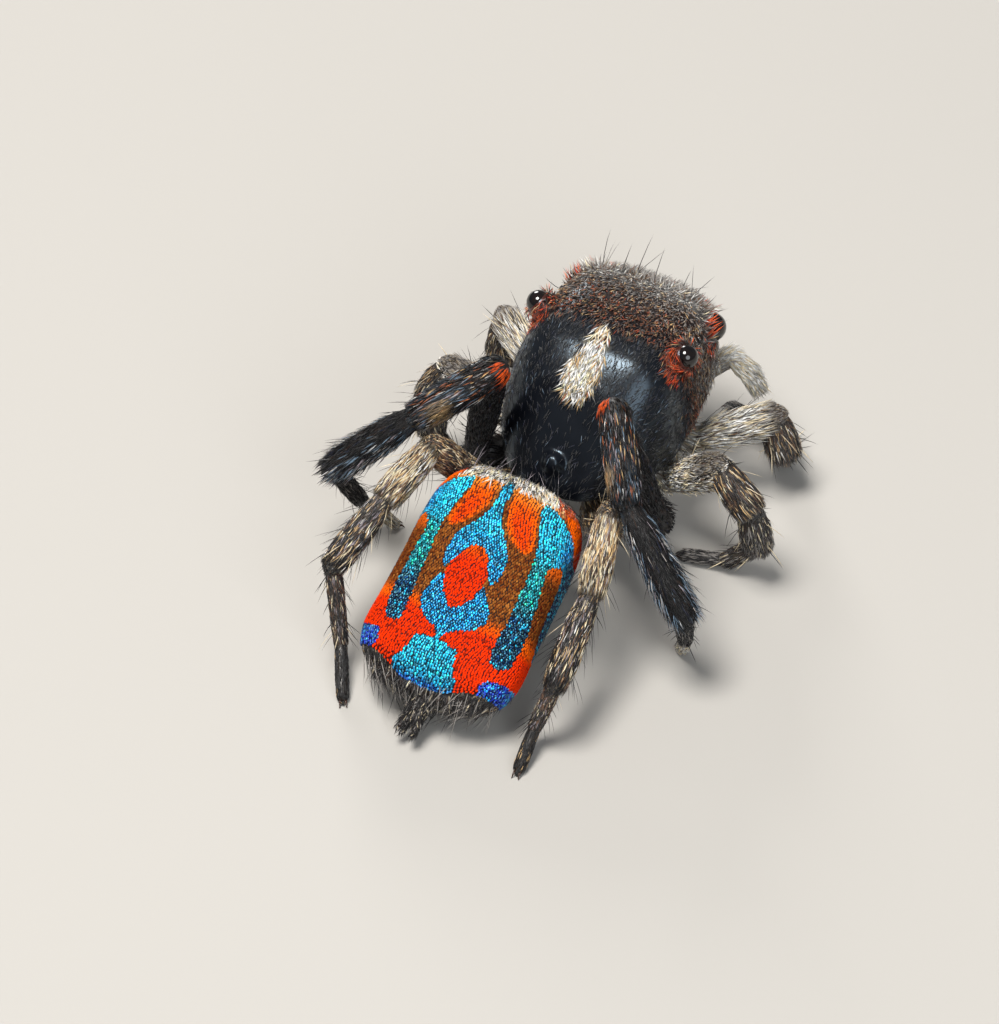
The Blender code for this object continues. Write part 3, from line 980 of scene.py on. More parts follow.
# Half thickness of each segment with its coat, and the depth of that coat.
LEG_RADII = {
    "leg1": (.170, .185, .170, .158, .096, .070),
    "leg2": (.170, .174, .170, .160, .096, .070),
    "leg3": (.170, .152, .178, .162, .096, .070),
    "leg4": (.160, .160, .176, .166, .098, .070),
}
COAT_DEPTH = (.020, .030, .030, .030, .020, .014)
SHAPE = {
    "coxa": ((0, .5, 1), (.80, 1.0, .78)),
    "femur": ((0, .2, .5, .8, 1), (.72, .90, 1.0, .95, .78)),
    "patella": ((0, .12, .35, .65, .88, 1), (.70, .88, .97, 1.0, .86, .64)),
    "tibia": ((0, .12, .3, .65, .9, 1), (.62, .84, .96, 1.0, .88, .70)),
    "metatarsus": ((0, .25, .8, 1), (.90, 1.0, .92, .84)),
    "tarsus": ((0, .4, .8, 1), (.92, 1.05, 1.0, .70)),
}
BROAD_KNEE = ((0, .12, .35, .65, .88, 1), (.93, 1.0, 1.0, 1.0, .86, .64))
FLATTEN = (1.0, .84, .94, .92, .92, .92)
SLIM_REAR = (1.0, 1.0, .93, .92, .94, 1.0)
# Tufts on a square millimetre of each segment.
LEG_HAIRS = (800, 2200, 2300, 2300, 2700, 2700)
# How steeply the hair of the segments stands off, and their share of dark bristles.
COXA_LIFT = .5
LEG_LIFT = {"leg1": .22, "leg2": .22, "leg3": .16, "leg4": .12}
DARK_BRISTLES = {"leg1": .75, "leg2": .75, "leg3": 1.0, "leg4": .85}
FRONT_DARK = dict(SOOT=4, UMBER=3, CREAM=1, GREY=1)
FRONT_PALE = dict(WHITE=4, CREAM=3, GREY=2, BROWN=.6)
# The weights of each segment's hair colours; "rest" stands for the segments not named.
LEG_PALETTES = {
    "front": {
        "coxa": FRONT_PALE,
        "femur": FRONT_PALE,
        "patella": dict(CREAM=1.2, BROWN=2, SOOT=5, UMBER=5, STRAW=1.6, BLACK=1.5, WHITE=.4),
        "tarsus": dict(SOOT=3, GREY=2),
        "rest": FRONT_DARK,
    },
    "leg3": {
        "patella": dict(BLACK=8, SOOT=2, UMBER=1.4, STEEL=1.5, COPPER=.9, WHITE=.5, STRAW=.5,
                        LILAC=.8),
        "metatarsus": dict(BLACK=4, SOOT=3, GREY=1),
        "tarsus": dict(WHITE=3, CREAM=3, GREY=2),
        "rest": dict(BLACK=7, SOOT=3, UMBER=1, NAVY_HAIR=.5),
    },
    "leg4": {
        "patella": dict(CREAM=4, STRAW=3, BROWN=2, SOOT=1.4, WHITE=1.4, LILAC=1),
        "tibia": dict(CREAM=1.4, STRAW=1.2, BROWN=1.8, SOOT=5.2, LILAC=1.8, BLACK=4.4, WHITE=.5),
        "metatarsus": dict(SOOT=5, BROWN=2, CREAM=.9, LILAC=.8),
        "tarsus": dict(SOOT=4, BLACK=3, STRAW=.5),
        "rest": dict(SOOT=3, BROWN=3, CREAM=1.5, STRAW=2),
    },
}


@dataclass
class Segment:
    """One straight leg segment under its coat."""

    index: int
    start: Array
    end: Array
    radius: float
    side: Array
    profile: tuple

    @property
    def name(self) -> str:
        """What the segment is called."""
        return SEGMENTS[self.index]

    @property
    def along(self) -> Array:
        """Its direction."""
        return unit(self.end - self.start)

    @property
    def length(self) -> float:
        """Its length."""
        return float(np.linalg.norm(self.end - self.start))

    def thickness(self, t: Array) -> Array:
        """Radius at a share of the way; past the ends it closes to a round cap.

        Args:
            t: share of the way.

        Returns:
            One radius for each place.
        """
        xs, ys = self.profile
        base = self.radius * curve(xs, ys, t)
        past = np.maximum(np.maximum(-t, t - 1), 0) * self.length / base
        return base * np.sqrt(np.clip(1 - past ** 2, 1e-4, 1))

    def surface(self, t: Array, turn: Array) -> tuple[Array, Array]:
        """Points and normals on the segment and its round ends.

        Args:
            t: share of the way, a little below 0 or above 1 on the ends.
            turn: angle round it, 0 at its side axis.

        Returns:
            Points and normals, one a row.
        """
        up = np.cross(self.along, self.side)
        flat = FLATTEN[self.index]
        cos, sin = np.cos(turn)[:, None], np.sin(turn)[:, None]
        centre = self.start + self.along * (self.length * t)[:, None]
        point = centre + self.thickness(t)[:, None] * (self.side * cos * flat + up * sin)
        past = (np.maximum(t - 1, 0) - np.maximum(-t, 0)) * self.length / self.radius
        ends = self.along * (past * 1.3)[:, None]
        return point, unit(self.side * cos / flat + up * sin + ends)

    def nearest(self, p: Array) -> tuple[Array, Array]:
        """For each place, the share of the way that is nearest and the distance to it.

        Args:
            p: places, one a row.

        Returns:
            The shares and the distances.
        """
        t = np.clip((p - self.start) @ self.along / self.length, 0, 1)
        near = self.start + self.along * (t * self.length)[:, None]
        return t, np.linalg.norm(p - near, axis=1)

    def body(self, sides: int) -> tuple[Array, list]:
        """The segment as a closed tube with rounded ends.

        Args:
            sides: points round it.

        Returns:
            Points and faces.
        """
        _, ys = self.profile
        first, last = self.radius * ys[0], self.radius * ys[-1]
        cap = np.array((1.0, .93, .75, .5, .25))
        share = np.concatenate([-first * cap / self.length, np.linspace(0, 1, 14),
                                1 + last * cap[::-1] / self.length])
        stations = list(zip(share * self.length, self.thickness(share)))
        up = np.cross(self.along, self.side)
        turn = TURN * np.arange(sides) / sides
        ring = self.side * np.cos(turn)[:, None] * FLATTEN[self.index] + up * np.sin(turn)[:, None]
        return loft([self.start + self.along * s + ring * r for s, r in stations])


@dataclass
class Leg:
    """One leg: its six segments, their coat and their bristles."""

    name: str
    segments: list[Segment] = field(default_factory=list)
    brush_hairs: int = 1500
    bristles_per_mm: int = 45
    rear_bristles: int = 70
    least_bristles: int = 4

    def __post_init__(self) -> None:
        """Works out the segments from the joints."""
        side = 1 if self.name.endswith("R") else -1
        joints = [np.array((side * x, y, z)) for x, y, z in LEG_JOINTS[self.name]]
        ways = [unit(joints[i + 1] - joints[i]) for i in range(6)]
        plane = unit(np.cross(ways[1], ways[3]))
        for i in range(6):
            across = unit(plane - ways[i] * (plane @ ways[i]))
            radius = LEG_RADII[self.kind][i] - COAT_DEPTH[i]
            radius *= SLIM_REAR[i] if self.kind == "leg4" else 1
            knee = self.kind == "leg3" and SEGMENTS[i] == "patella"
            profile = BROAD_KNEE if knee else SHAPE[SEGMENTS[i]]
            self.segments.append(Segment(i, joints[i], joints[i + 1], radius, across, profile))

    @property
    def kind(self) -> str:
        """Which of the four pairs it belongs to."""
        return self.name[:4]

    @property
    def inner(self) -> float:
        """Which way along its side axis the body lies: 1 or -1."""
        return -1.0 if self.segments[2].side[0] * self.segments[2].start[0] > 0 else 1.0

    @property
    def nodes(self) -> list[str]:
        """The solids that its skin stands for."""
        return [f"{self.name}_{part}" for part in ("coxa", "femur", "patella", "tibia", "foot")]

    def palette(self, index: int) -> dict[str, float]:
        """Hair colours of a segment, with their shares."""
        own = LEG_PALETTES.get(self.kind, LEG_PALETTES["front"])
        return own.get(SEGMENTS[index], own["rest"])

    def shade(self, index: int, t: Array, turn: Array, tint: Array) -> Array:
        """Bands and spots of a segment, and a painted sheen along the top of the third leg's knee,
        laid over its random hair colours.

        Args:
            index: the segment's number.
            t: share of the way.
            turn: angle round it.
            tint: the hair's own colours.

        Returns:
            The colours.
        """
        name = SEGMENTS[index]
        ends = np.minimum(smooth(.0, .07, t), smooth(.02, .12, 1 - t))
        if name in ("patella", "tibia"):
            tint = tint * (.16 + .84 * ends)[:, None]
        side, over = np.cos(turn) * self.inner, np.sin(turn)
        veils = {
            ("leg1", "femur"): ((Paint.UMBER.rgb, smooth(.75, .98, t) * .75),),
            ("leg2", "femur"): ((Paint.UMBER.rgb * .8,
                                 smooth(.45, .80, t) * smooth(-.3, .3, over) * .75),),
            ("leg3", "patella"): (
                (Paint.ORANGE.rgb * .8, smooth(-.03, -.07, t) * (side > .2)),
                (Paint.STRAW.rgb * .8,
                 smooth(.86, .72, t) * smooth(.5, .62, t) * (side > .45) * .5),
                # A darker steel-blue band along the top of the third leg's knee: painted sheen.
                (Paint.STEEL.rgb * .5, smooth(.2, .4, t) * (np.abs(over - .75) < .22) * .25)),
            ("leg3", "tibia"): ((Paint.STEEL.rgb * .7, (np.abs(side) > .90) * .25),),
        }
        for colour, share in veils.get((self.kind, name), ()):
            tint = blend(tint, colour, share)
        return tint

    def coat(self, rng: Rng) -> Batch:
        """The hair of the whole leg.

        Args:
            rng: the draw.

        Returns:
            The roots.
        """
        batches = []
        for seg in self.segments:
            ends = seg.radius * .8 / seg.length
            area = TURN * seg.radius * seg.length * (1 + 2 * ends)
            count = int(area * LEG_HAIRS[seg.index] * DENSITY)
            t = rng.uniform(-ends, 1 + ends, count)
            turn = rng.uniform(0, TURN, count)
            root, normal = seg.surface(t, turn)
            lift = COXA_LIFT if seg.name == "coxa" else LEG_LIFT[self.kind]
            way = scatter_turn(rng, lie_along(seg.along, normal), normal, .13, lift)
            fine = seg.index >= 4
            length = rng.uniform(.10, .18, count) * (.62 if fine else 1.0)
            below = smooth(-.2, -.8, normal[:, 2])
            length *= 1 + .45 * below * (self.kind in ("leg1", "leg2")) * (not fine)
            left = np.maximum((1 - t) * seg.length + .4 * seg.radius, .035)
            length = np.minimum(length, left) * (.45 + .55 * smooth(-ends, .06, t))
            width = rng.uniform(.008, .014, count) * (.8 if fine else 1.0)
            tint = self.shade(seg.index, t, turn, pick(rng, count, **self.palette(seg.index)))
            lean = droop(normal, length, .15)
            lean[:, 2] -= length * below * .25
            spot = columns((seg.index + np.clip(t, 0, 1)) / 6, turn / TURN)
            batches.append(Batch(root, way, normal, length, width, tint, lean, spot))
        if self.kind == "leg3":
            batches.append(self.brush(rng))
        merged = Batch.merge(batches)
        return merged.keep(self.outside(merged.root)).above_floor()

    def brush(self, rng: Rng) -> Batch:
        """Long dark hair lying along the third leg's tibia to a brush at its end.

        Args:
            rng: the draw.

        Returns:
            The roots.
        """
        seg = self.segments[3]
        count = int(self.brush_hairs * DENSITY)
        t = rng.uniform(.08, 1.0, count) ** .8
        turn = rng.uniform(0, TURN, count)
        flank = rng.uniform(0, 1, count) < .5
        side = rng.integers(0, 2, count) * math.pi + rng.normal(0, .40, count)
        turn = np.where(flank, side, turn)
        root, normal = seg.surface(t, turn)
        way = scatter_turn(rng, np.tile(seg.along, (count, 1)), normal, .08, .16)
        spread = flank * rng.uniform(.15, .45, count) * (.7 + .6 * t)
        way = unit(way + normal * spread[:, None])
        length = np.where(flank, rng.uniform(.13, .25, count), rng.uniform(.16, .28, count))
        length = length * (1.0 - .25 * smooth(.75, 1.0, t))
        width = np.where(flank, rng.uniform(.005, .009, count), rng.uniform(.007, .012, count))
        tint = pick(rng, count, BLACK=6, SOOT=3, STEEL=.7, NAVY_HAIR=.8)
        bright = flank & (rng.uniform(0, 1, count) < .42)
        pale = pick(rng, count, STEEL=3, GREY=1.6, LILAC=1, WHITE=.6)
        tint = np.where(bright[:, None], pale * 1.7, tint)
        spot = columns((3 + t) / 6, (turn / TURN) % 1)
        return Batch(root, way, normal, length, width, tint, droop(normal, length, .22), spot)

    def outside(self, points: Array) -> Array:
        """Which points lie outside every segment, so that no hair starts inside a joint.

        Args:
            points: places, one a row.

        Returns:
            True where a point is free.
        """
        free = np.ones(len(points), bool)
        for seg in self.segments:
            t, gap = seg.nearest(points)
            free &= gap > seg.thickness(t) * FLATTEN[seg.index] * .90
        return free

    def bristles(self, rng: Rng) -> Batch:
        """A few long spines that stand off the leg.

        Args:
            rng: the draw.

        Returns:
            The roots.
        """
        batches = []
        for seg in self.segments[1:5]:
            many = self.rear_bristles if self.kind == "leg4" else self.bristles_per_mm
            count = max(self.least_bristles, int(many * seg.length * DENSITY))
            t = rng.uniform(.08, .95, count)
            turn = rng.uniform(0, TURN, count)
            root, normal = seg.surface(t, turn)
            way = scatter_turn(rng, np.tile(seg.along, (count, 1)), normal, .3, .55)
            length = rng.uniform(.13, .26, count) * (.75 if seg.name == "metatarsus" else 1.0)
            pale = np.tile(Paint.CREAM.rgb, (count, 1))
            tint = either(rng, DARK_BRISTLES[self.kind], Paint.BLACK.rgb, pale)
            lean = seg.along * (length * .25)[:, None]
            spot = columns((seg.index + t) / 6, turn / TURN)
            width = rng.uniform(.005, .0085, count)
            batches.append(Batch(root, way, normal, length, width, tint, lean, spot))
        merged = Batch.merge(batches)
        return merged.keep(self.outside(merged.root)).above_floor()


ABD_SLOPE = math.radians(31.2)
ABD_S = (-1.06, -1.01, -.92, -.80, -.60, -.30, .05, .35, .60, .78, .90, .98, 1.02)
ABD_TOP = (-.24, -.16, -.07, .00, .035, .05, .055, .06, .055, .045, .00, -.12, -.33)
ABD_LOW = (-.38, -.46, -.56, -.66, -.76, -.86, -.97, -.99, -.96, -.93, -.90, -.85, -.75)
ABD_HALF = (.14, .40, .60, .70, .74, .72, .705, .70, .68, .62, .52, .36, .15)
PIVOT_Y = -1.24
SWING = math.radians(1.8)


def turned(p: Array) -> Array:
    """Points of the rear body, swung a little to the left about the waist.

    Args:
        p: places, one a row.

    Returns:
        The points.
    """
    p = np.asarray(p, float)
    x, y = p[..., 0], p[..., 1] - PIVOT_Y
    return np.stack([x * math.cos(SWING) + y * math.sin(SWING),
                     PIVOT_Y + y * math.cos(SWING) - x * math.sin(SWING), p[..., 2]], axis=-1)


@dataclass
class Abdomen:
    """The abdomen's shape, along its own sloping axis, and its hair."""

    middle: tuple[float, float, float] = (0.0, -2.57, 1.10)
    drop_at: tuple[float, float, float] = (-.90, -.30, .50)
    side_drop: tuple[float, float, float] = (.24, .30, .34)
    box_side: float = .62
    box_top: float = .86
    fan_rear: float = -.93
    fan_front: float = .93
    fan_fold: float = math.radians(24)
    hairs: int = 17000

    def surface(self, s: Array, turn: Array, inset: Array | float) -> Array:
        """Points on the abdomen.

        Args:
            s: place along its axis, rear to front.
            turn: angle round it, 0 at its right side and a quarter turn on its back.
            inset: depth below the coat.

        Returns:
            Points, one a row.
        """
        top = curve(ABD_S, ABD_TOP, s)
        low = curve(ABD_S, ABD_LOW, s)
        half = curve(ABD_S, ABD_HALF, s)
        drop = np.interp(s, self.drop_at, self.side_drop)
        level = top - np.minimum(drop, (top - low) / 2)
        rise = np.sin(turn)
        x = (half - inset) * power(np.cos(turn), self.box_side)
        over = level + (top - inset - level) * np.maximum(rise, 0) ** self.box_top
        under = level - (level - low - inset) * np.maximum(-rise, 0)
        n = np.where(rise >= 0, over, under)
        y = self.middle[1] + math.cos(ABD_SLOPE) * s - math.sin(ABD_SLOPE) * n
        z = self.middle[2] + math.sin(ABD_SLOPE) * s + math.cos(ABD_SLOPE) * n
        return turned(np.stack([x, y, z], axis=-1))

    def frame_at(self, s: Array, turn: Array, inset: float) -> tuple[Array, Array, Array]:
        """Points, outward normals and forward directions on the abdomen.

        Args:
            s: place along its axis.
            turn: angle round it.
            inset: depth below the coat.

        Returns:
            The three, one a row.
        """
        e = 1e-3
        p = self.surface(s, turn, inset)
        ds = unit(self.surface(s + e, turn, inset) - self.surface(s - e, turn, inset))
        dt = self.surface(s, turn + e, inset) - self.surface(s, turn - e, inset)
        return p, unit(np.cross(dt, ds)) * -1.0, ds

    def body(self) -> tuple[Array, list]:
        """The soft abdomen, lower under the fan.

        Returns:
            Points and faces.
        """
        stations = np.concatenate([np.linspace(-1.06, -.95, 5), np.linspace(-.92, .86, 36),
                                   np.linspace(.88, 1.02, 8)])
        turn = TURN * np.arange(72) / 72
        rings = []
        for s in stations:
            folded = np.where(turn > math.pi / 2, math.pi - turn, turn)
            folded = np.where(turn > 3 * math.pi / 2, turn - TURN, folded)
            side = smooth(-.70, -.50, folded)
            ends = smooth(-.97, -.92, np.array(s)) * (1 - smooth(.87, .92, np.array(s)))
            inset = .02 + .045 * side * ends
            rings.append(self.surface(np.full(72, s), turn, inset))
        return loft(rings)

    def coat(self, rng: Rng) -> Batch:
        """Grey, brown and cream hair on the sides, the front, the rear and the belly.

        Args:
            rng: the draw.

        Returns:
            The roots.
        """
        root, normal = scatter(rng, *self.body(), int(self.hairs * DENSITY))
        centre = turned(np.array(self.middle))
        axis = unit(turned(np.array((0, -math.cos(ABD_SLOPE), 0)))
                    - turned(np.zeros(3)) + np.array((0, 0, -math.sin(ABD_SLOPE))))
        along = -(root - centre) @ axis
        up = np.array((0, -math.sin(ABD_SLOPE), math.cos(ABD_SLOPE)))
        open_skin = (normal @ up < -.12) | (along > .80) | (along < -.84)
        root, normal, along = root[open_skin], normal[open_skin], along[open_skin]
        count = len(root)
        way = scatter_turn(rng, lie_along(axis, normal), normal, .30, .22)
        tint = pick(rng, count, SOOT=6, GREY=2, CREAM=.8, UMBER=2.4)
        tint = blend(tint, Paint.BLACK.rgb, smooth(.80, .94, along) * .65)
        length = rng.uniform(.09, .17, count)
        width = rng.uniform(.008, .012, count)
        lean = droop(normal, length, .12)
        round_it = round_share(normal @ up, normal[:, 0])
        spot = columns(np.clip((along + 1.1) / 2.2, 0, 1), round_it)
        batch = Batch(root, way, normal, length, width, tint, lean, spot)
        return batch.above_floor()


@dataclass
class FanPattern:
    """The fan's markings, from the distance to its mid-line and the place along it, in mm."""

    q: Array
    s: Array
    left_narrow: float = .135
    left_rise: float = .055
    diamond_half: float = .182
    diamond_place: float = .02
    roundness: float = 1.62

    def __post_init__(self) -> None:
        """Lays one marking over the other at every place."""
        q, s = self.q, self.s
        a = np.abs(q)
        left = (q < 0) * smooth(.15, .45, a) * smooth(-.72, -.60, s)
        left = left * (.6 + .4 * smooth(.45, -.30, s))
        self.a = a = a + self.left_narrow * left
        raised = (q < 0) * smooth(.30, .55, a) * smooth(-.20, -.50, s)
        self.s = s = s - self.left_rise * raised
        self.gleam = np.zeros(len(a))
        ground = blend(Paint.FAN_OCHRE.rgb, Paint.FAN_ORANGE.rgb * .9, smooth(-.22, -.34, s))
        self.tint = blend(ground, Paint.FAN_RED.rgb, smooth(-.30, -.42, s))
        for marking in (self.ovals, self.outer_band, self.outer_stripe, self.ring,
                        self.mid_stripe, self.diamond, self.rear_patch, self.rear_corner,
                        self.front_edge, self.front_corner):
            marking()

    def fill(self, inside: Array, colour: Array, gleam: float) -> None:
        """Gives the places inside a marking its colour and its gleam."""
        self.tint = np.where(inside[:, None], colour, self.tint)
        self.gleam = np.where(inside, gleam, self.gleam)

    def veil(self, share: Array, colour: Array) -> None:
        """Lays a matt colour over the others, with a soft edge."""
        self.tint = blend(self.tint, colour, share)
        self.gleam = self.gleam * (share < .5)

    def ovals(self) -> None:
        """The two lengthwise orange ovals in the front third."""
        a, s = self.a, self.s
        inner = np.interp(s, [.37, .42, .50, .60, .70, .92], [.36, .25, .165, .105, .072, .072])
        outer = np.interp(s, [.37, .42, .50, .62, .75, .84, .92],
                          [.39, .45, .435, .395, .345, .325, .30])
        depth = np.minimum(a - inner, outer - a)
        warm = blend(Paint.FAN_ORANGE.rgb, Paint.FAN_RED.rgb,
                     smooth(.02, .09, depth) * smooth(.80, .60, s) * .7)
        self.tint = blend(self.tint, warm, smooth(-.004, .022, depth) * (s > .37))

    def outer_band(self) -> None:
        """The broad band that runs from sky blue in front to navy behind, and the edge."""
        a, s = self.a, self.s
        inner = np.interp(s, [-.61, -.595, -.55, -.45, -.2, 0, .2, .4, .5, .62, .75, .84],
                          [.58, .53, .495, .485, .50, .50, .49, .475, .45, .41, .36, .345])
        outer = np.interp(
            s, [-.61, -.595, -.55, -.45, -.3, -.2, -.1, 0, .1, .2, .27, .33, .39, .42],
            [.58, .64, .685, .705, .715, .71, .69, .68, .66, .64, .625, .63, .67, 1.6])
        edge = np.interp(s, [-.42, 0, .10, .25, .36, .42], [.90, .86, .85, .83, .80, .74])
        front = np.interp(a, [.33, .38, .45, .60, .75, .82, .95],
                          [.80, .85, .83, .76, .66, .60, .50])
        band = (a > inner) & (a < outer) & (s > -.61)
        cool = blend(Paint.FAN_CYAN.rgb, Paint.FAN_BLUE.rgb,
                     smooth(.60, .74, a) * smooth(.2, .5, s) * .9)
        cool = blend(cool, Paint.FAN_TEAL.rgb, smooth(.52, .30, s) * .85)
        cool = blend(cool, Paint.FAN_NAVY.rgb, smooth(.06, -.18, s) * .92)
        cool = blend(cool, Paint.FAN_NAVY.rgb * .8, smooth(.76, .88, a))
        self.fill((band | ((a > edge) & (s > -.38))) & (s < front), cool, 1.0)

    def outer_stripe(self) -> None:
        """The ochre stripe outside the broad band, red at its rear end."""
        a, s = self.a, self.s
        inner = np.interp(s, [-.5, -.3, -.2, -.1, 0, .1, .2, .27, .33, .39, .42],
                          [.70, .715, .71, .69, .68, .66, .64, .625, .63, .67, .74])
        outer = np.interp(s, [-.5, -.2, 0, .10, .25, .36, .42], [1.1, .88, .86, .85, .83, .80, .74])
        warm = blend(Paint.FAN_OCHRE.rgb, Paint.FAN_ORANGE.rgb,
                     np.maximum(smooth(.22, .36, s) * .6, smooth(-.20, -.34, s)))
        warm = warm * (1 - .35 * smooth(.34, .22, s) * smooth(-.34, -.20, s))[:, None]
        warm = blend(warm, Paint.FAN_RED.rgb, smooth(-.34, -.46, s))
        self.fill((a > inner) & (a < outer) & (s < .42) & (s > -.50), warm, 0.0)

    def ring(self) -> None:
        """The blue ring round the middle diamond, open at the sides."""
        a, s = self.a, self.s
        outer = np.interp(s, [.03, .08, .15, .25, .34, .42, .50],
                          [.24, .275, .29, .285, .25, .19, .10])
        inner = np.interp(s, [.03, .12, .22, .30], [.225, .16, .10, .0])
        front = (s > .03) & (s < .50) & (a < outer) & (a > inner)
        outer = np.interp(s, [-.55, -.48, -.43, -.38, -.32, -.27, -.20, -.12, -.05, -.02],
                          [.015, .07, .18, .27, .33, .345, .33, .28, .235, .205])
        rear = (s < -.02) & (s > -.56) & (a < outer)
        cool = blend(Paint.FAN_BLUE.rgb, Paint.FAN_CYAN.rgb, .25 + .25 * smooth(.2, .45, s))
        self.fill(front | rear, cool, 1.0)

    def mid_stripe(self) -> None:
        """The sky-blue stripe from the front edge to the ring."""
        half = np.interp(self.s, [.40, .46, .52, .60, .70, .92],
                         [.20, .15, .105, .062, .048, .052])
        cool = blend(Paint.FAN_CYAN.rgb, Paint.FAN_BLUE.rgb, .3)
        self.fill((self.s > .40) & (self.a < half), cool, 1.0)

    def diamond(self) -> None:
        """The red diamond with rounded corners in the middle."""
        ahead = self.s - self.diamond_place
        reach = np.where(ahead > 0, .285, .30)
        edge = ((self.a / self.diamond_half) ** self.roundness
                + (np.abs(ahead) / reach) ** self.roundness)
        warm = blend(Paint.FAN_RED.rgb, Paint.FAN_ORANGE.rgb, smooth(.14, .30, self.s) * .8)
        self.fill(edge < 1, warm, 0.0)

    def rear_patch(self) -> None:
        """The sky-blue rounded patch at the middle of the rear edge, and its neck."""
        s = self.s
        half = np.interp(s, [-.96, -.90, -.84, -.78, -.70, -.62, -.585, -.575, -.56, -.50],
                         [.28, .295, .290, .25, .225, .215, .19, .05, .016, .014])
        cool = blend(Paint.FAN_CYAN.rgb, Paint.FAN_BLUE.rgb, smooth(-.78, -.92, s) * .5)
        cool = blend(cool, Paint.FAN_ROYAL.rgb, smooth(-.89, -.95, s) * .8)
        self.fill((s < -.50) & (self.a < half), cool, 1.0)

    def rear_corner(self) -> None:
        """The royal-blue patch at each rear corner."""
        a = self.a
        front = np.interp(a, [.41, .44, .48, .54, .62, .72, .95],
                          [-.94, -.86, -.78, -.73, -.705, -.705, -.69])
        cool = blend(Paint.FAN_ROYAL.rgb, Paint.FAN_NAVY.rgb, smooth(.55, .85, a) * .5)
        self.fill((self.s < front) & (a > .41), cool, 1.0)

    def front_edge(self) -> None:
        """The cream front edge, which fades into the ovals."""
        a, s = self.a, self.s
        past = s - np.interp(a, [0, .05, .08, .20, .32, .40, .50, .62],
                             [.93, .92, .90, .895, .87, .865, .845, .80])
        golden = smooth(-.16, -.03, past) * (self.gleam < .5) * smooth(.60, .48, a)
        self.tint = blend(self.tint, Paint.FAN_GOLD.rgb, golden * .9)
        warm = blend(Paint.STRAW.rgb, Paint.CREAM.rgb, smooth(.84, .92, s))
        self.veil(smooth(-.05, .03, past) * smooth(.57, .54, a), warm)

    def front_corner(self) -> None:
        """The orange front corners, darker red down the sides."""
        a = self.a
        past = self.s - np.interp(a, [.52, .60, .66, .75, .82, .95],
                                  [.87, .80, .73, .665, .60, .50])
        warm = blend(Paint.FAN_ORANGE.rgb, Paint.FAN_RED.rgb * .5, smooth(.80, 1.0, a))
        self.veil(smooth(-.02, .02, past) * smooth(.51, .55, a), warm)


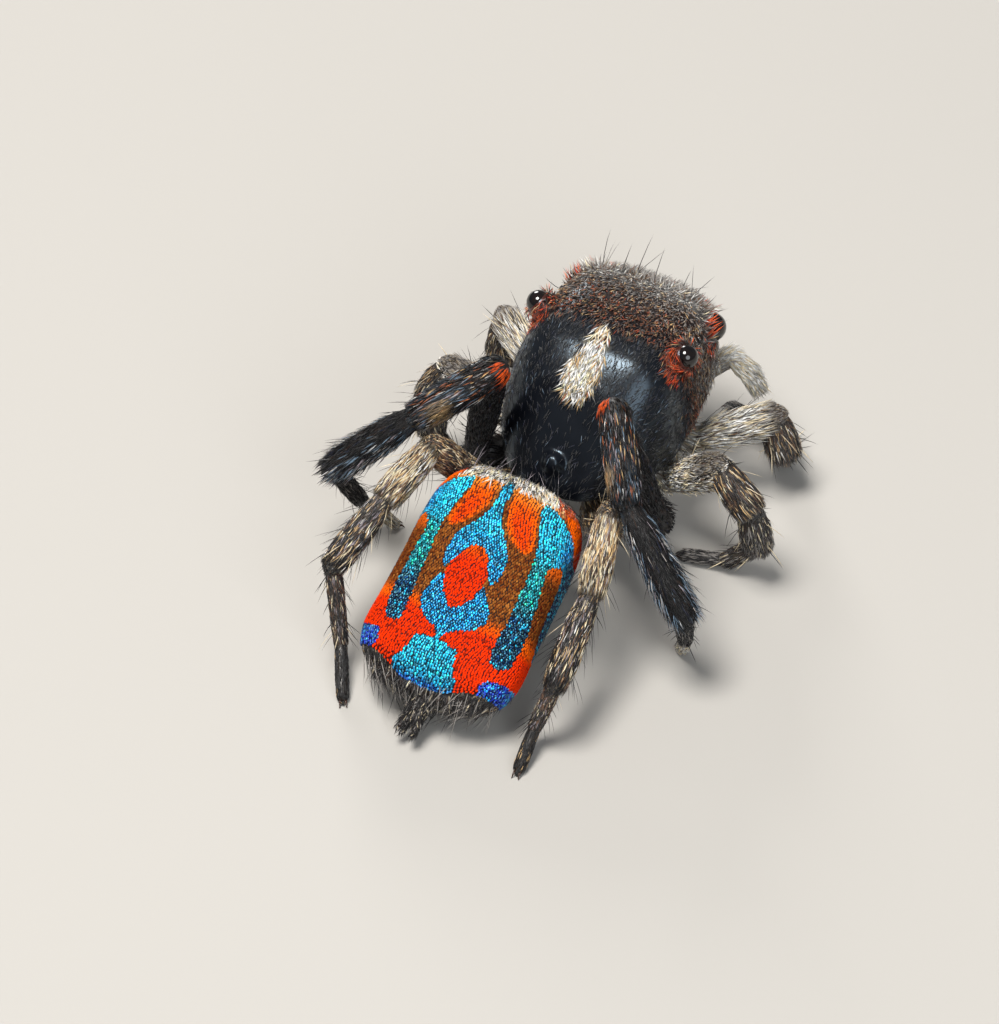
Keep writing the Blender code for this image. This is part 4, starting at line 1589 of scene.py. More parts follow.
@dataclass
class Fan:
    """The patterned shield folded over the abdomen, its scales and its fringes."""

    abdomen: Abdomen
    scale_pitch: float = .0245
    scale_height: float = .012
    shell: float = .05
    corner_left: float = .12
    corner_right: float = .075
    tongue: float = .035
    front_hairs: int = 1700
    rear_hairs: int = 900
    front_long: int = 40
    rear_long: int = 150

    def arc(self, s: float, count: int) -> tuple[Array, Array]:
        """Angles and signed arc lengths across the fan at one place along it.

        Args:
            s: place along its axis.
            count: how many.

        Returns:
            Angles and arc lengths.
        """
        fold = self.abdomen.fan_fold
        over = np.linspace(-.98, .98, count // 2)
        middle = np.arccos(power(over, 1 / self.abdomen.box_side))
        even = np.linspace(-fold, math.pi + fold, count - len(over))
        turn = np.sort(np.concatenate([even, middle]))
        points = self.abdomen.surface(np.full(count, s), turn, self.scale_height)
        steps = np.linalg.norm(np.diff(points, axis=0), axis=1)
        length = np.concatenate([[0], np.cumsum(steps)])
        return turn, np.interp(math.pi / 2, turn, length) - length

    def rounded(self, q: Array, s: Array) -> Array:
        """Places along the fan, with its rear edge bowed out and its corners drawn forwards.

        Args:
            q: distance from the fan's mid-line.
            s: place along its axis.

        Returns:
            The new places along it.
        """
        away = np.abs(q)
        corner = np.where(q < 0, self.corner_left, self.corner_right)
        reach = corner * smooth(.16, .48, away) - self.tongue * smooth(.40, .10, away)
        return s + reach * smooth(-.62, self.abdomen.fan_rear, s)

    def across(self, turn: Array) -> Array:
        """Distance from the mid-line at an angle, near enough for hair."""
        return .72 * power(np.cos(turn), self.abdomen.box_side)

    def body(self, finish: bpy.types.Material) -> bpy.types.Object:
        """The shield itself, painted with the pattern.

        Args:
            finish: its material.

        Returns:
            The object.
        """
        rows, across = 150, 181
        points, tint = [], []
        side_rim = np.minimum(np.arange(across), np.arange(across)[::-1])
        rim = np.minimum(1, .35 + .05 * side_rim)
        for i, s in enumerate(np.linspace(self.abdomen.fan_rear, self.abdomen.fan_front, rows)):
            turn, q = self.arc(s, across)
            edge = min(i, rows - 1 - i) / rows
            thick = self.shell * min(1, .35 + edge * 9)
            at = self.rounded(q, np.full(across, s))
            outer = self.abdomen.surface(at, turn, self.scale_height)
            inner = self.abdomen.surface(at, turn, self.scale_height + thick * rim)
            colours = FanPattern(q, at).tint
            points.append(np.concatenate([outer, inner[::-1]]))
            tint.append(np.concatenate([colours, colours[::-1]]))
        count = 2 * across
        faces = ring_faces(rows, count)
        for base in (0, (rows - 1) * count):
            for k in range(across - 1):
                faces.append((base + k, base + k + 1, base + count - 2 - k, base + count - 1 - k))
        obj = mesh_object("fan_shield", np.concatenate(points), faces, finish)
        paint(obj.data, np.concatenate(tint))
        return obj

    def scales(self, rng: Rng) -> dict[str, Batch]:
        """Rows of small domed scales over the right and left halves, free end to the rear.

        Args:
            rng: the draw.

        Returns:
            The roots of each half.
        """
        pitch = self.scale_pitch / math.sqrt(DENSITY)
        s_all, t_all, q_all = [], [], []
        stations = np.arange(self.abdomen.fan_rear, self.abdomen.fan_front, pitch * .84)
        for row, s in enumerate(stations):
            turn, q = self.arc(s, 200)
            places = np.arange(q.min(), q.max(), pitch) + (row % 2) * pitch / 2
            places = places + rng.normal(0, pitch * .13, len(places))
            places = places[(places > q.min()) & (places < q.max())]
            t_all.append(np.interp(places, q[::-1], turn[::-1]))
            s_all.append(np.full(len(places), s) + rng.normal(0, pitch * .13, len(places)))
            q_all.append(places)
        s, turn, q = (np.concatenate(x) for x in (s_all, t_all, q_all))
        s = self.rounded(q, s)
        count = len(s)
        root, normal, ahead = self.abdomen.frame_at(s, turn, self.scale_height)
        way = scatter_turn(rng, -ahead, normal, .22, .10)
        pattern = FanPattern(q, s)
        tint = pattern.tint
        blue = pattern.gleam > .5
        green = blue & (tint[:, 1] > tint[:, 2] * .72)
        ochre = ~blue & (tint[:, 1] > tint[:, 0] * .26) & (tint[:, 0] < .5)
        bright = np.where(blue, np.exp(rng.normal(0, .55, count)), rng.uniform(.84, 1.10, count))
        bright = np.where(ochre, np.exp(rng.normal(-.18, .42, count)), bright)
        tint = tint * bright[:, None]
        spark = blue & (rng.uniform(0, 1, count) < .13)
        glint = np.where(green[:, None], Paint.FAN_GREEN.rgb, Paint.FAN_CYAN.rgb * .9)
        tint = np.where(spark[:, None], tint * .8 + glint, tint)
        gap = ~blue & (rng.uniform(0, 1, count) < .07)
        tint = np.where(gap[:, None], tint * .36, tint)
        size = pitch * rng.uniform(1.05, 1.35, count)
        batch = Batch(root - way * (size * .5)[:, None], way, normal, size * 1.12, size * .71, tint,
                      root * 0, columns((q + 1.3) / 2.6, (s + .95) / 1.9), pattern.gleam)
        return {"R": batch.keep(q >= 0), "L": batch.keep(q < 0)}

    def fringe(self, rng: Rng) -> Batch:
        """Cream hair over the front edge, orange at its corners, and grey hair at the rear.

        Args:
            rng: the draw.

        Returns:
            The roots.
        """
        a = self.abdomen
        count = int(self.front_hairs * DENSITY)
        turn = rng.uniform(-.1, math.pi + .1, count)
        s = a.fan_front - np.abs(rng.normal(0, .045, count))
        root, normal, ahead = a.frame_at(s, turn, .010)
        way = scatter_turn(rng, ahead * .7 - normal * .05, normal, .28, .25)
        tint = pick(rng, count, CREAM=4, WHITE=5, STRAW=1) * 1.15
        warm = pick(rng, count, FAN_ORANGE=4, FAN_RED=2, RUST=1)
        in_corner = rng.uniform(0, 1, count) < smooth(.62, .78, np.abs(np.cos(turn)))
        tint = np.where(in_corner[:, None], warm * .7, tint)
        length = rng.uniform(.06, .13, count) * np.where(in_corner, .55, 1.0)
        width = rng.uniform(.010, .015, count)
        front = Batch(root, way, normal, length, width, tint, droop(normal, length, .25),
                      self.spot(turn, s))
        front = front.keep(~in_corner | (rng.uniform(0, 1, count) < .35))
        count = int(self.rear_hairs * DENSITY)
        turn = rng.uniform(-.35, math.pi + .35, count)
        s = self.rounded(self.across(turn), a.fan_rear + np.abs(rng.normal(0, .010, count)))
        root, normal, ahead = a.frame_at(s, turn, .030)
        way = scatter_turn(rng, -ahead, normal, .35, .10)
        tint = pick(rng, count, GREY=.9, SOOT=6, BLACK=3, STRAW=.5)
        length = rng.uniform(.06, .14, count)
        width = rng.uniform(.007, .011, count)
        rear = Batch(root, way, normal, length, width, tint, droop(normal, length, .35),
                     self.spot(turn, s))
        return Batch.merge([front, rear]).above_floor()

    def spot(self, turn: Array, s: Array, ahead: float = .95) -> Array:
        """Places on the unwrap: round the abdomen, and along it from so far behind its middle."""
        return columns(turn / TURN + .1, (s + ahead) / (2 * ahead))

    def long_hair(self, rng: Rng) -> Batch:
        """Single long hairs: dark ones over the front edge, pale ones round the rear.

        Args:
            rng: the draw.

        Returns:
            The roots.
        """
        a = self.abdomen
        count = int(self.front_long * DENSITY)
        turn = rng.uniform(.3, math.pi - .3, count)
        s = a.fan_front - rng.uniform(0, .1, count)
        root, normal, ahead = a.frame_at(s, turn, .02)
        way = scatter_turn(rng, ahead, normal, .5, .75)
        length = rng.uniform(.14, .30, count)
        tint = either(rng, .35, Paint.LILAC.rgb, np.tile(Paint.BLACK.rgb, (count, 1)))
        front = Batch(root, way, normal, length, np.full(count, .006), tint,
                      ahead * (length * .3)[:, None], self.spot(turn, s))
        count = int(self.rear_long * DENSITY)
        turn = rng.uniform(-.8, math.pi + .8, count)
        s = rng.uniform(-1.05, -.86, count)
        root, normal, ahead = a.frame_at(s, turn, .03)
        way = scatter_turn(rng, -ahead, normal, .45, .35)
        length = rng.uniform(.14, .32, count)
        tint = either(rng, .5, Paint.GREY.rgb, np.tile(Paint.BLACK.rgb, (count, 1)))
        lean = (np.array((0, 0, -1.0)) - ahead) * (length * .2)[:, None]
        rear = Batch(root, way, normal, length, np.full(count, .007), tint, lean,
                     self.spot(turn, s, 1.05))
        return Batch.merge([front, rear]).above_floor()


CARA_Y = (-1.18, -1.15, -1.05, -.85, -.60, -.30, .0, .40, .66, .76, .83, .88)
CARA_HALF = (.14, .30, .45, .61, .735, .79, .77, .725, .68, .63, .56, .46)
CARA_TOP = (1.00, 1.06, 1.20, 1.46, 1.74, 1.93, 1.97, 1.93, 1.83, 1.76, 1.69, 1.58)
CARA_MARGIN = (.93, .93, .93, .94, .95, .96, .98, 1.02, 1.07, 1.10, 1.14, 1.20)
CARA_BOX_X = (.85, .85, .80, .72, .62, .50, .41, .39, .42, .46, .50, .60)
CARA_BOX_Z = (.95, .95, .95, .92, .88, .79, .69, .66, .70, .74, .80, .85)
EYES = {
    "eye_front_middle": ((.262, .800, 1.440), .230),
    "eye_front_side": ((.615, .660, 1.575), .125),
    "eye_small_middle": ((.645, .360, 1.700), .042),
    "eye_rear_side": ((.700, .000, 1.830), .106),
}


def eye_look(name: str, side: int) -> tuple[Array, Array]:
    """Centre of an eye and the way it looks.

    Args:
        name: which pair.
        side: 1 for the right eye, -1 for the left one.

    Returns:
        The centre and a direction.
    """
    (x, y, z), _ = EYES[name]
    eye = np.array((side * x, y, z))
    if name == "eye_front_middle":
        return eye, unit(np.array((side * .04, 1.0, 0)))
    return eye, unit(eye - np.array((0, y * .6, 1.3)))


def all_eyes() -> list[tuple[str, Array, Array, float]]:
    """Name, centre, way it looks and radius of each of the eight eyes, right ones first.

    Returns:
        One row for each eye.
    """
    letters = {1: "R", -1: "L"}
    return [(f"{name}_lens_{letters[side]}", *eye_look(name, side), radius)
            for name, (_, radius) in EYES.items() for side in SIDES]


@dataclass
class Head:
    """The head and chest shield, its eyes and its hair."""

    coat_depth: float = .014
    rim: float = .045
    boss: tuple[float, float, float] = (0.0, -1.075, 1.165)
    boss_size: float = .090
    boss_height: float = .085
    collar: float = .018
    collar_root: float = .22
    eye_depth: float = .045
    blend: float = .035
    black: tuple[float, float, float] = (.0022, .0026, .0042)
    hairs: int = 30000
    field_hairs: int = 24000
    face_hairs: int = 60000
    bristle_places: int = 3000

    def surface(self, y: Array, turn: Array) -> Array:
        """Points on the shield.

        Args:
            y: place along the body.
            turn: angle over the back, 0 at the right margin and pi at the left one.

        Returns:
            Points, one a row.
        """
        half = curve(CARA_Y, CARA_HALF, y) - self.coat_depth
        top = curve(CARA_Y, CARA_TOP, y) - self.coat_depth
        margin = curve(CARA_Y, CARA_MARGIN, y)
        x = half * power(np.cos(turn), curve(CARA_Y, CARA_BOX_X, y))
        z = margin + (top - margin) * np.maximum(np.sin(turn), 0) ** curve(CARA_Y, CARA_BOX_Z, y)
        return np.stack([x, y, z], axis=-1)

    def mounds(self, p: Array) -> Array:
        """Draws the shell out to a collar round each eye, and to the boss on the rear slope.

        Args:
            p: places, one a row.

        Returns:
            The points, drawn out.
        """
        out = p.copy()
        for _, eye, look, radius in all_eyes():
            collar = radius + self.collar
            inner = eye - look * (self.eye_depth + self.collar_root)
            away = out - inner
            far = np.linalg.norm(away, axis=1)
            cos = away @ look / far
            sin = np.sqrt(np.maximum(1 - cos ** 2, 1e-9))
            ahead = self.collar_root * cos
            cap = ahead + np.sqrt(np.maximum(collar ** 2 - (self.collar_root * sin) ** 2, 0))
            pipe = collar / sin
            reach = np.where(pipe * cos < self.collar_root, pipe, cap)
            reach = np.where(cos < 0, collar, reach)
            share = np.clip(.5 + .5 * (far - reach) / self.blend, 0, 1)
            new = reach * (1 - share) + far * share + self.blend * share * (1 - share)
            out = inner + away * (new / far)[:, None]
        d = np.linalg.norm(p - np.array(self.boss), axis=1)
        rise = self.boss_height * np.exp(-(d / self.boss_size) ** 4)
        return out + np.array((0, -.6, .8)) * rise[:, None]

    def shape(self) -> tuple[Array, list]:
        """The shield as one closed shell: points and faces.

        Returns:
            Points and faces.
        """
        ys = np.concatenate([np.linspace(-1.18, -.6, 46), np.linspace(-.585, .6, 90),
                             np.linspace(.612, .88, 30)])
        arc, floor = 170, 30
        rings = []
        for y in ys:
            turn = math.pi * (1 - np.cos(np.linspace(0, math.pi, arc))) / 2
            turn = .5 * turn + .5 * np.linspace(0, math.pi, arc)
            over = self.surface(np.full(arc, y), turn)
            share = np.linspace(0, 1, floor + 2)[1:-1][:, None]
            low = over[-1] + (over[0] - over[-1]) * share
            low[:, 2] -= self.rim * np.sin(share[:, 0] * math.pi) ** .3
            rings.append(np.concatenate([over, low]))
        face = np.array(rings[-1])
        centre = face.mean(0)
        for k in np.linspace(.96, .04, 26):
            ring = centre + (face - centre) * k
            ring[:, 1] += .012 * (1 - k ** 2)
            rings.append(ring)
        points, faces = loft(rings)
        return self.mounds(points), faces

    def body(self, finish: bpy.types.Material) -> bpy.types.Object:
        """The shield's mesh, painted.

        Args:
            finish: its material.

        Returns:
            The object.
        """
        obj = mesh_object("head_shield", *self.shape(), finish)
        paint(obj.data, self.shell_colour(points_of(obj)))
        return obj

    def stripe(self, p: Array, inset: float = 0.0) -> Array:
        """How much a place belongs to the cream stripe down the back, drawn in by an inset.

        Args:
            p: places, one a row.
            inset: how far in.

        Returns:
            One share for each place.
        """
        x, y = p[:, 0], p[:, 1]
        half = np.interp(y, [-.71, -.66, -.56, -.45, -.25, -.12, -.06],
                         [.055, .115, .155, .138, .08, .06, .0])
        return smooth(.02, -.015, np.abs(x) - half + inset) * (y > -.71) * (y < -.06)

    def eye_glow(self, p: Array) -> Array:
        """How much a place belongs to the orange hair round the side eyes.

        Args:
            p: places, one a row.

        Returns:
            One share for each place.
        """
        glow = np.zeros(len(p))
        for name, reach in (("eye_rear_side", .22), ("eye_front_side", .21)):
            (x, y, z), _ = EYES[name]
            centre = np.array((x, y - .05, z - .03))
            d = np.linalg.norm(columns(np.abs(p[:, 0]), p[:, 1], p[:, 2]) - centre, axis=1)
            glow = np.maximum(glow, smooth(reach, reach * .55, d))
        return glow

    def shell_colour(self, p: Array) -> Array:
        """The shell's own colour: black with a blue cast, and the coat's markings.

        Args:
            p: places, one a row.

        Returns:
            The colours.
        """
        tint = np.tile(self.black, (len(p), 1))
        for colour, share in (
                (Paint.CREAM.rgb * .25, self.stripe(p)), (Paint.RUST.rgb * .20, self.eye_glow(p)),
                (Paint.UMBER.rgb * .6, smooth(-.15, .15, p[:, 1])),
                (Paint.GREY.rgb * .45, smooth(.36, .62, p[:, 1]))):
            tint = blend(tint, colour, share * .8)
        return tint

    def hair_colour(self, rng: Rng, p: Array) -> Array:
        """Colours of the head's hair by its place.

        Args:
            rng: the draw.
            p: places, one a row.

        Returns:
            The colours.
        """
        count = len(p)
        y = p[:, 1] + .14 * (wobble(p, 2.2, 3) - .5)
        # The navy and steel-blue share of the black hair is partly bluish hair and partly painted
        # sheen on the shell's rear slope.
        tint = pick(rng, count, BLACK=8, SOOT=1, NAVY_HAIR=2, STEEL=.5)
        layers = (
            (smooth(-.20, -.02, y),
             dict(COPPER=3.4, RUST=.7, UMBER=2, BLACK=4, BROWN=3, STRAW=.7, GREY=.8)),
            (smooth(.12, .36, y), dict(GREY=5, BROWN=5, UMBER=1.8, STRAW=1.2, BLACK=1)),
            (smooth(.38, .64, y), dict(WHITE=1.6, GREY=7, CREAM=.6, BROWN=2)),
            (self.eye_glow(p) * .85, dict(ORANGE=3, RUST=4, FAN_RED=1, BLACK=2, STRAW=.7)),
        )
        for share, palette in layers:
            tint = either(rng, share, pick(rng, count, **palette), tint)
        pale = pick(rng, count, CREAM=3, WHITE=7, STRAW=.4) * 1.25
        straw = pick(rng, count, STRAW=4, COPPER=1, CREAM=2)
        edge = smooth(1.0, .3, self.stripe(p, .05)) * .5
        return either(rng, self.stripe(p), either(rng, edge, straw, pale), tint)

    def roots(self, rng: Rng, count: int) -> tuple[Array, Array]:
        """Places for hair on the shell: not on its underside and not in an eye.

        Args:
            rng: the draw.
            count: how many.

        Returns:
            Places and normals.
        """
        root, normal = scatter(rng, *self.shape(), int(count * DENSITY))
        free = (normal[:, 2] > -.55) | (normal[:, 1] > .5)
        for _, eye, _, radius in all_eyes():
            free &= np.linalg.norm(root - eye, axis=1) > radius * 1.05
        return root[free], normal[free]

    def spot(self, p: Array) -> Array:
        """Places on the shell's unwrap: along the body, and over its back."""
        turn = np.arctan2(p[:, 2] - 1.0, p[:, 0]) / math.pi
        return columns((p[:, 1] + 1.18) / 2.25, np.clip(turn, 0, 1))

    def coat(self, rng: Rng) -> Batch:
        """Fine hair of the back: a few on the black rear, dense in the cream stripe.

        Args:
            rng: the draw.

        Returns:
            The roots.
        """
        root, normal = self.roots(rng, self.hairs)
        y = root[:, 1]
        stripe = self.stripe(root)
        share = .12 + .26 * smooth(-.82, -.55, y) + stripe * .7 + self.eye_glow(root) * .8
        share = np.clip(share + smooth(-.22, -.06, y), 0, 1)
        share = share * smooth(.08, .13, np.linalg.norm(root - np.array(self.boss), axis=1))
        chosen = (rng.uniform(0, 1, len(y)) < share) & (y < .16)
        root, normal, stripe = root[chosen], normal[chosen], stripe[chosen]
        count = len(root)
        way = lie_along(np.array((0, -1.0, 0)), normal)
        fuzzy = smooth(-.12, .0, root[:, 1])
        way = scatter_turn(rng, way, normal, .35, .18)
        way = unit(way + normal * (fuzzy * rng.uniform(.2, .9, count))[:, None])
        striped = stripe > .5
        length = np.where(striped, rng.uniform(.09, .15, count), rng.uniform(.05, .085, count))
        glow = self.eye_glow(root) > .4
        length = np.where(glow & ~striped, rng.uniform(.07, .13, count), length)
        width = np.where(striped, .0125, .0055 + .0035 * fuzzy) * rng.uniform(.8, 1.2, count)
        lean = droop(normal, length, .12)
        return Batch(root, way, normal, length, width, self.hair_colour(rng, root), lean,
                     self.spot(root))

    def field_coat(self, rng: Rng) -> Batch:
        """The fuzz between the eyes, more upright, and the brow's fringe over the front eyes.

        Args:
            rng: the draw.

        Returns:
            The roots.
        """
        root, normal = self.roots(rng, self.field_hairs)
        chosen = (root[:, 1] >= .16) & ((normal[:, 1] < .62) | (root[:, 2] > 1.60))
        root, normal = root[chosen], normal[chosen]
        count = len(root)
        brow = smooth(.60, .74, root[:, 1]) * smooth(1.45, 1.60, root[:, 2])
        way = lie_along(np.array((0, -1.0, 0)), normal)
        ahead = unit(columns(root[:, 0] * .25, root[:, 1] * 0 + 1.0, root[:, 2] * 0 - .12))
        way = either(rng, brow, ahead, way)
        way = scatter_turn(rng, way, normal, .5, .10)
        way = unit(way + normal * ((1 - .7 * brow) * rng.uniform(.1, .7, count))[:, None])
        length = rng.uniform(.045, .085, count) * (1 + 1.0 * brow)
        length = np.where(self.eye_glow(root) > .4, rng.uniform(.07, .13, count), length)
        way, length = self.hood(rng, root, way, length)
        width = .0088 * rng.uniform(.8, 1.25, count)
        lean = droop(normal, length, .15)
        return Batch(root, way, normal, length, width, self.hair_colour(rng, root), lean,
                     self.spot(root))

    def hood(self, rng: Rng, root: Array, way: Array, length: Array
             ) -> tuple[Array, Array]:
        """Turns the hair above each front side eye out over it, and makes it longer.

        Args:
            rng: the draw.
            root: the roots.
            way: the hair's directions.
            length: the hair's lengths.

        Returns:
            Directions and lengths.
        """
        for side in SIDES:
            eye, look = eye_look("eye_front_side", side)
            near = smooth(.24, .16, np.linalg.norm(root - eye, axis=1))
            near = near * (root[:, 2] > eye[2] - .02)
            over = unit(look + np.array((0, .15, .28)) + rng.normal(0, .16, root.shape))
            way = unit(way * (1 - near)[:, None] + over * near[:, None])
            length = length * (1 - near) + rng.uniform(.12, .18, len(root)) * near
        return way, length

    def face_coat(self, rng: Rng) -> Batch:
        """Lashes round the front eyes, orange above, and pale hair hanging below them.

        Args:
            rng: the draw.

        Returns:
            The roots.
        """
        root, normal = self.roots(rng, self.face_hairs)
        chosen = (normal[:, 1] >= .45) & (root[:, 1] > .60) & (root[:, 2] < 1.66)
        root, normal = root[chosen], normal[chosen]
        count = len(root)
        (ex, _, ez), radius = EYES["eye_front_middle"]
        across = columns(np.abs(root[:, 0]) - ex, root[:, 2] - ez)
        far = np.linalg.norm(across, axis=1)
        ring = columns(across[:, 0] * np.sign(root[:, 0]), far * 0, across[:, 1])
        ring = ring / np.maximum(far, 1e-6)[:, None]
        lash = smooth(radius + .10, radius + .03, far)
        down = unit(columns(root[:, 0] * .25, far * 0 + .3, far * 0 - 1.0))
        out = unit(ring + np.array((0, .9, 0)))
        way = unit(down * (1 - lash)[:, None] + out * lash[:, None])
        way = scatter_turn(rng, way, normal, .25, .12)
        tint = pick(rng, count, CREAM=4, WHITE=6, STRAW=1)
        above = smooth(-.05, .12, across[:, 1])
        warm = pick(rng, count, ORANGE=2, RUST=4, BROWN=2)
        tint = either(rng, above * .8, warm, tint)
        length = rng.uniform(.06, .10, count) * (1 + .6 * smooth(1.25, 1.12, root[:, 2]))
        spot = columns((root[:, 0] + .7) / 1.4, (root[:, 2] - 1.0) / .8)
        return Batch(root, way, normal, length, .0085 * rng.uniform(.8, 1.2, count), tint,
                     droop(normal, length, .1), spot)

    def bristles(self, rng: Rng) -> Batch:
        """Long fine black bristles over the brow and beside the rear eyes.

        Args:
            rng: the draw.

        Returns:
            The roots.
        """
        root, normal = self.roots(rng, self.bristle_places)
        chosen = (root[:, 1] > -.2) & (normal[:, 2] > .25)
        chosen &= rng.uniform(0, 1, len(root)) < .04 + .16 * smooth(.45, .75, root[:, 1])
        root, normal = root[chosen], normal[chosen]
        count = len(root)
        ahead = lie_along(np.array((0, 1.0, 0)), normal)
        way = scatter_turn(rng, ahead, normal, .6, .95)
        length = rng.uniform(.14, .36, count) * (.6 + .5 * smooth(.2, .8, root[:, 1]))
        tint = np.tile(Paint.BLACK.rgb, (count, 1))
        lean = ahead * (length * .25)[:, None]
        return Batch(root, way, normal, length, np.full(count, .0065), tint, lean, self.spot(root))

    def lenses(self, finish: bpy.types.Material) -> None:
        """The eight eyes, each a polished ball in its mount.

        Args:
            finish: its material.
        """
        polar = np.linspace(0, math.pi, 34)[1:-1]
        turn = TURN * np.arange(56) / 56
        for name, (x, y, z), _, radius in all_eyes():
            points, faces = loft([columns(x + radius * math.sin(a) * np.cos(turn),
                                          np.full(56, y + radius * math.cos(a)),
                                          z + radius * math.sin(a) * np.sin(turn))
                                  for a in polar])
            points[-2:] = (x, y + radius, z), (x, y - radius, z)
            lens = mesh_object(name, points, faces, finish)
            dress(lens, [name.replace("_lens", "")])


def mirrored(line: tuple, side: int) -> Array:
    """A line given for the right side, on the side that is wanted."""
    return np.array(line) * (side, 1, 1)


def round_share(over: Array, across: Array) -> Array:
    """The share of a turn at which a normal points, from 0 to 1."""
    return np.arctan2(over, across) / TURN % 1


def tube(points: list, radii: list[float], sides: int = 24, rows: int = 26) -> tuple[Array, list]:
    """A closed, rounded tube through points, with a radius at each.

    Args:
        points: the middle line.
        radii: one for each point.
        sides: points round it.
        rows: rings along it.

    Returns:
        Points and faces.
    """
    line = np.asarray(points, float)
    at = np.concatenate([[0], np.cumsum(np.linalg.norm(np.diff(line, axis=0), axis=1))])
    share = at / at[-1]
    t = np.linspace(0, 1, rows)
    centre = columns(*[curve(share, line[:, k], t) for k in range(3)])
    radius = curve(share, radii, t)
    end = np.sqrt(np.clip(1 - ((1 - np.minimum(t, 1 - t) / .08).clip(0, 1)) ** 2, .03, 1))
    along = unit(np.gradient(centre, axis=0))
    helper = np.array((1.0, .2, 0)) if abs(along[0, 0]) < .8 else np.array((0, .2, 1.0))
    side = unit(helper - along * (along @ helper)[:, None])
    up = np.cross(along, side)
    turn = TURN * np.arange(sides) / sides
    rings = [centre[i] + radius[i] * end[i] * (side[i] * np.cos(turn)[:, None]
                                              + up[i] * np.sin(turn)[:, None])
             for i in range(rows)]
    return loft(rings)


@dataclass
class Mouthparts:
    """The jaws with their fangs, and the two feelers beside them."""

    jaw: tuple = ((.185, .83, 1.02), (.190, .90, .86), (.165, .90, .64))
    jaw_radii: tuple = (.130, .142, .098)
    jaw_tint: tuple = (.030, .020, .014)
    fang: tuple = ((.165, .91, .66), (.12, .90, .60), (.05, .865, .59))
    fang_radii: tuple = (.034, .024, .006)
    palp: tuple = ((.40, .70, .74), (.55, .86, .90), (.66, .94, .98), (.80, .94, .93),
                   (.92, .93, .80))
    palp_radii: tuple = (.055, .070, .068, .078, .050)
    palp_hairs: int = 1700
    jaw_hairs: int = 1500

    def jaw_body(self, side: int) -> tuple[Array, list]:
        """One jaw."""
        return tube(mirrored(self.jaw, side), self.jaw_radii, 36, 40)

    def jaws(self, shell: bpy.types.Material, horn: bpy.types.Material) -> None:
        """Makes both jaws, with their fangs.

        Args:
            shell: the jaws' material.
            horn: the material of claws and fangs.
        """
        obj = mesh_object("jaw_shells", *join([self.jaw_body(side) for side in SIDES]), shell)
        paint(obj.data, np.tile(self.jaw_tint, (len(obj.data.vertices), 1)))
        dress(obj, ["jaw_R", "jaw_L"])
        fangs = [tube(mirrored(self.fang, side), self.fang_radii, 16, 18) for side in SIDES]
        dress(mesh_object("fangs", *join(fangs), horn))

    def bodies(self) -> list[tuple[Array, list]]:
        """The feelers' bodies, for the skin."""
        return [tube(mirrored(self.palp, side), self.palp_radii, 20, 30) for side in SIDES]

    def coat(self, rng: Rng) -> Batch:
        """Long pale hair on the feelers and short hair on the jaws."""
        feelers = [self.palp_coat(rng, side) for side in SIDES]
        return Batch.merge(feelers + [self.jaw_coat(rng, side) for side in SIDES])

    def palp_coat(self, rng: Rng, side: int) -> Batch:
        """Long pale hair on one feeler, brown at its root.

        Args:
            rng: the draw.
            side: 1 for the right one, -1 for the left one.

        Returns:
            The roots.
        """
        line = mirrored(self.palp, side)
        count = int(self.palp_hairs * DENSITY)
        at = np.linspace(0, 1, len(line))
        t = rng.uniform(.1, 1.0, count)
        after = np.minimum(t + .02, 1)
        centre, ahead, behind = (columns(*[curve(at, line[:, k], place) for k in range(3)])
                                 for place in (t, after, after - .04))
        ahead = unit(ahead - behind)
        turn = rng.uniform(0, TURN, count)
        across = unit(np.cross(ahead, np.array((0, 0, 1.0))))
        normal = across * np.cos(turn)[:, None] + np.cross(ahead, across) * np.sin(turn)[:, None]
        root = centre + normal * curve(at, self.palp_radii, t)[:, None] * .95
        way = scatter_turn(rng, ahead, normal, .2, .22)
        tint = pick(rng, count, WHITE=6, CREAM=3, GREY=1)
        tint = blend(tint, Paint.UMBER.rgb, smooth(.45, .2, t) * .6)
        length = rng.uniform(.09, .17, count)
        return Batch(root, way, normal, length, np.full(count, .012), tint,
                     droop(normal, length, .1), self.spot(side, t, turn / TURN))

    def jaw_coat(self, rng: Rng, side: int) -> Batch:
        """Short hair on one jaw.

        Args:
            rng: the draw.
            side: 1 for the right one, -1 for the left one.

        Returns:
            The roots.
        """
        root, normal = scatter(rng, *self.jaw_body(side), int(self.jaw_hairs * DENSITY))
        chosen = (root[:, 2] > .66) & (root[:, 2] < 1.05)
        root, normal = root[chosen], normal[chosen]
        count = len(root)
        way = scatter_turn(rng, lie_along(np.array((0, .1, -1.0)), normal), normal, .25, .16)
        tint = pick(rng, count, CREAM=3, GREY=3, BROWN=2)
        length = rng.uniform(.05, .10, count)
        spot = self.spot(side, (1.05 - root[:, 2]) / .4, round_share(normal[:, 1], normal[:, 0]))
        return Batch(root, way, normal, length, np.full(count, .009), tint, way * 0, spot)

    def spot(self, side: int, along: Array, around: Array) -> Array:
        """Places on the unwrap, with the right parts beside the left ones."""
        return columns(.02 + .45 * along + (.5 if side > 0 else 0), around)


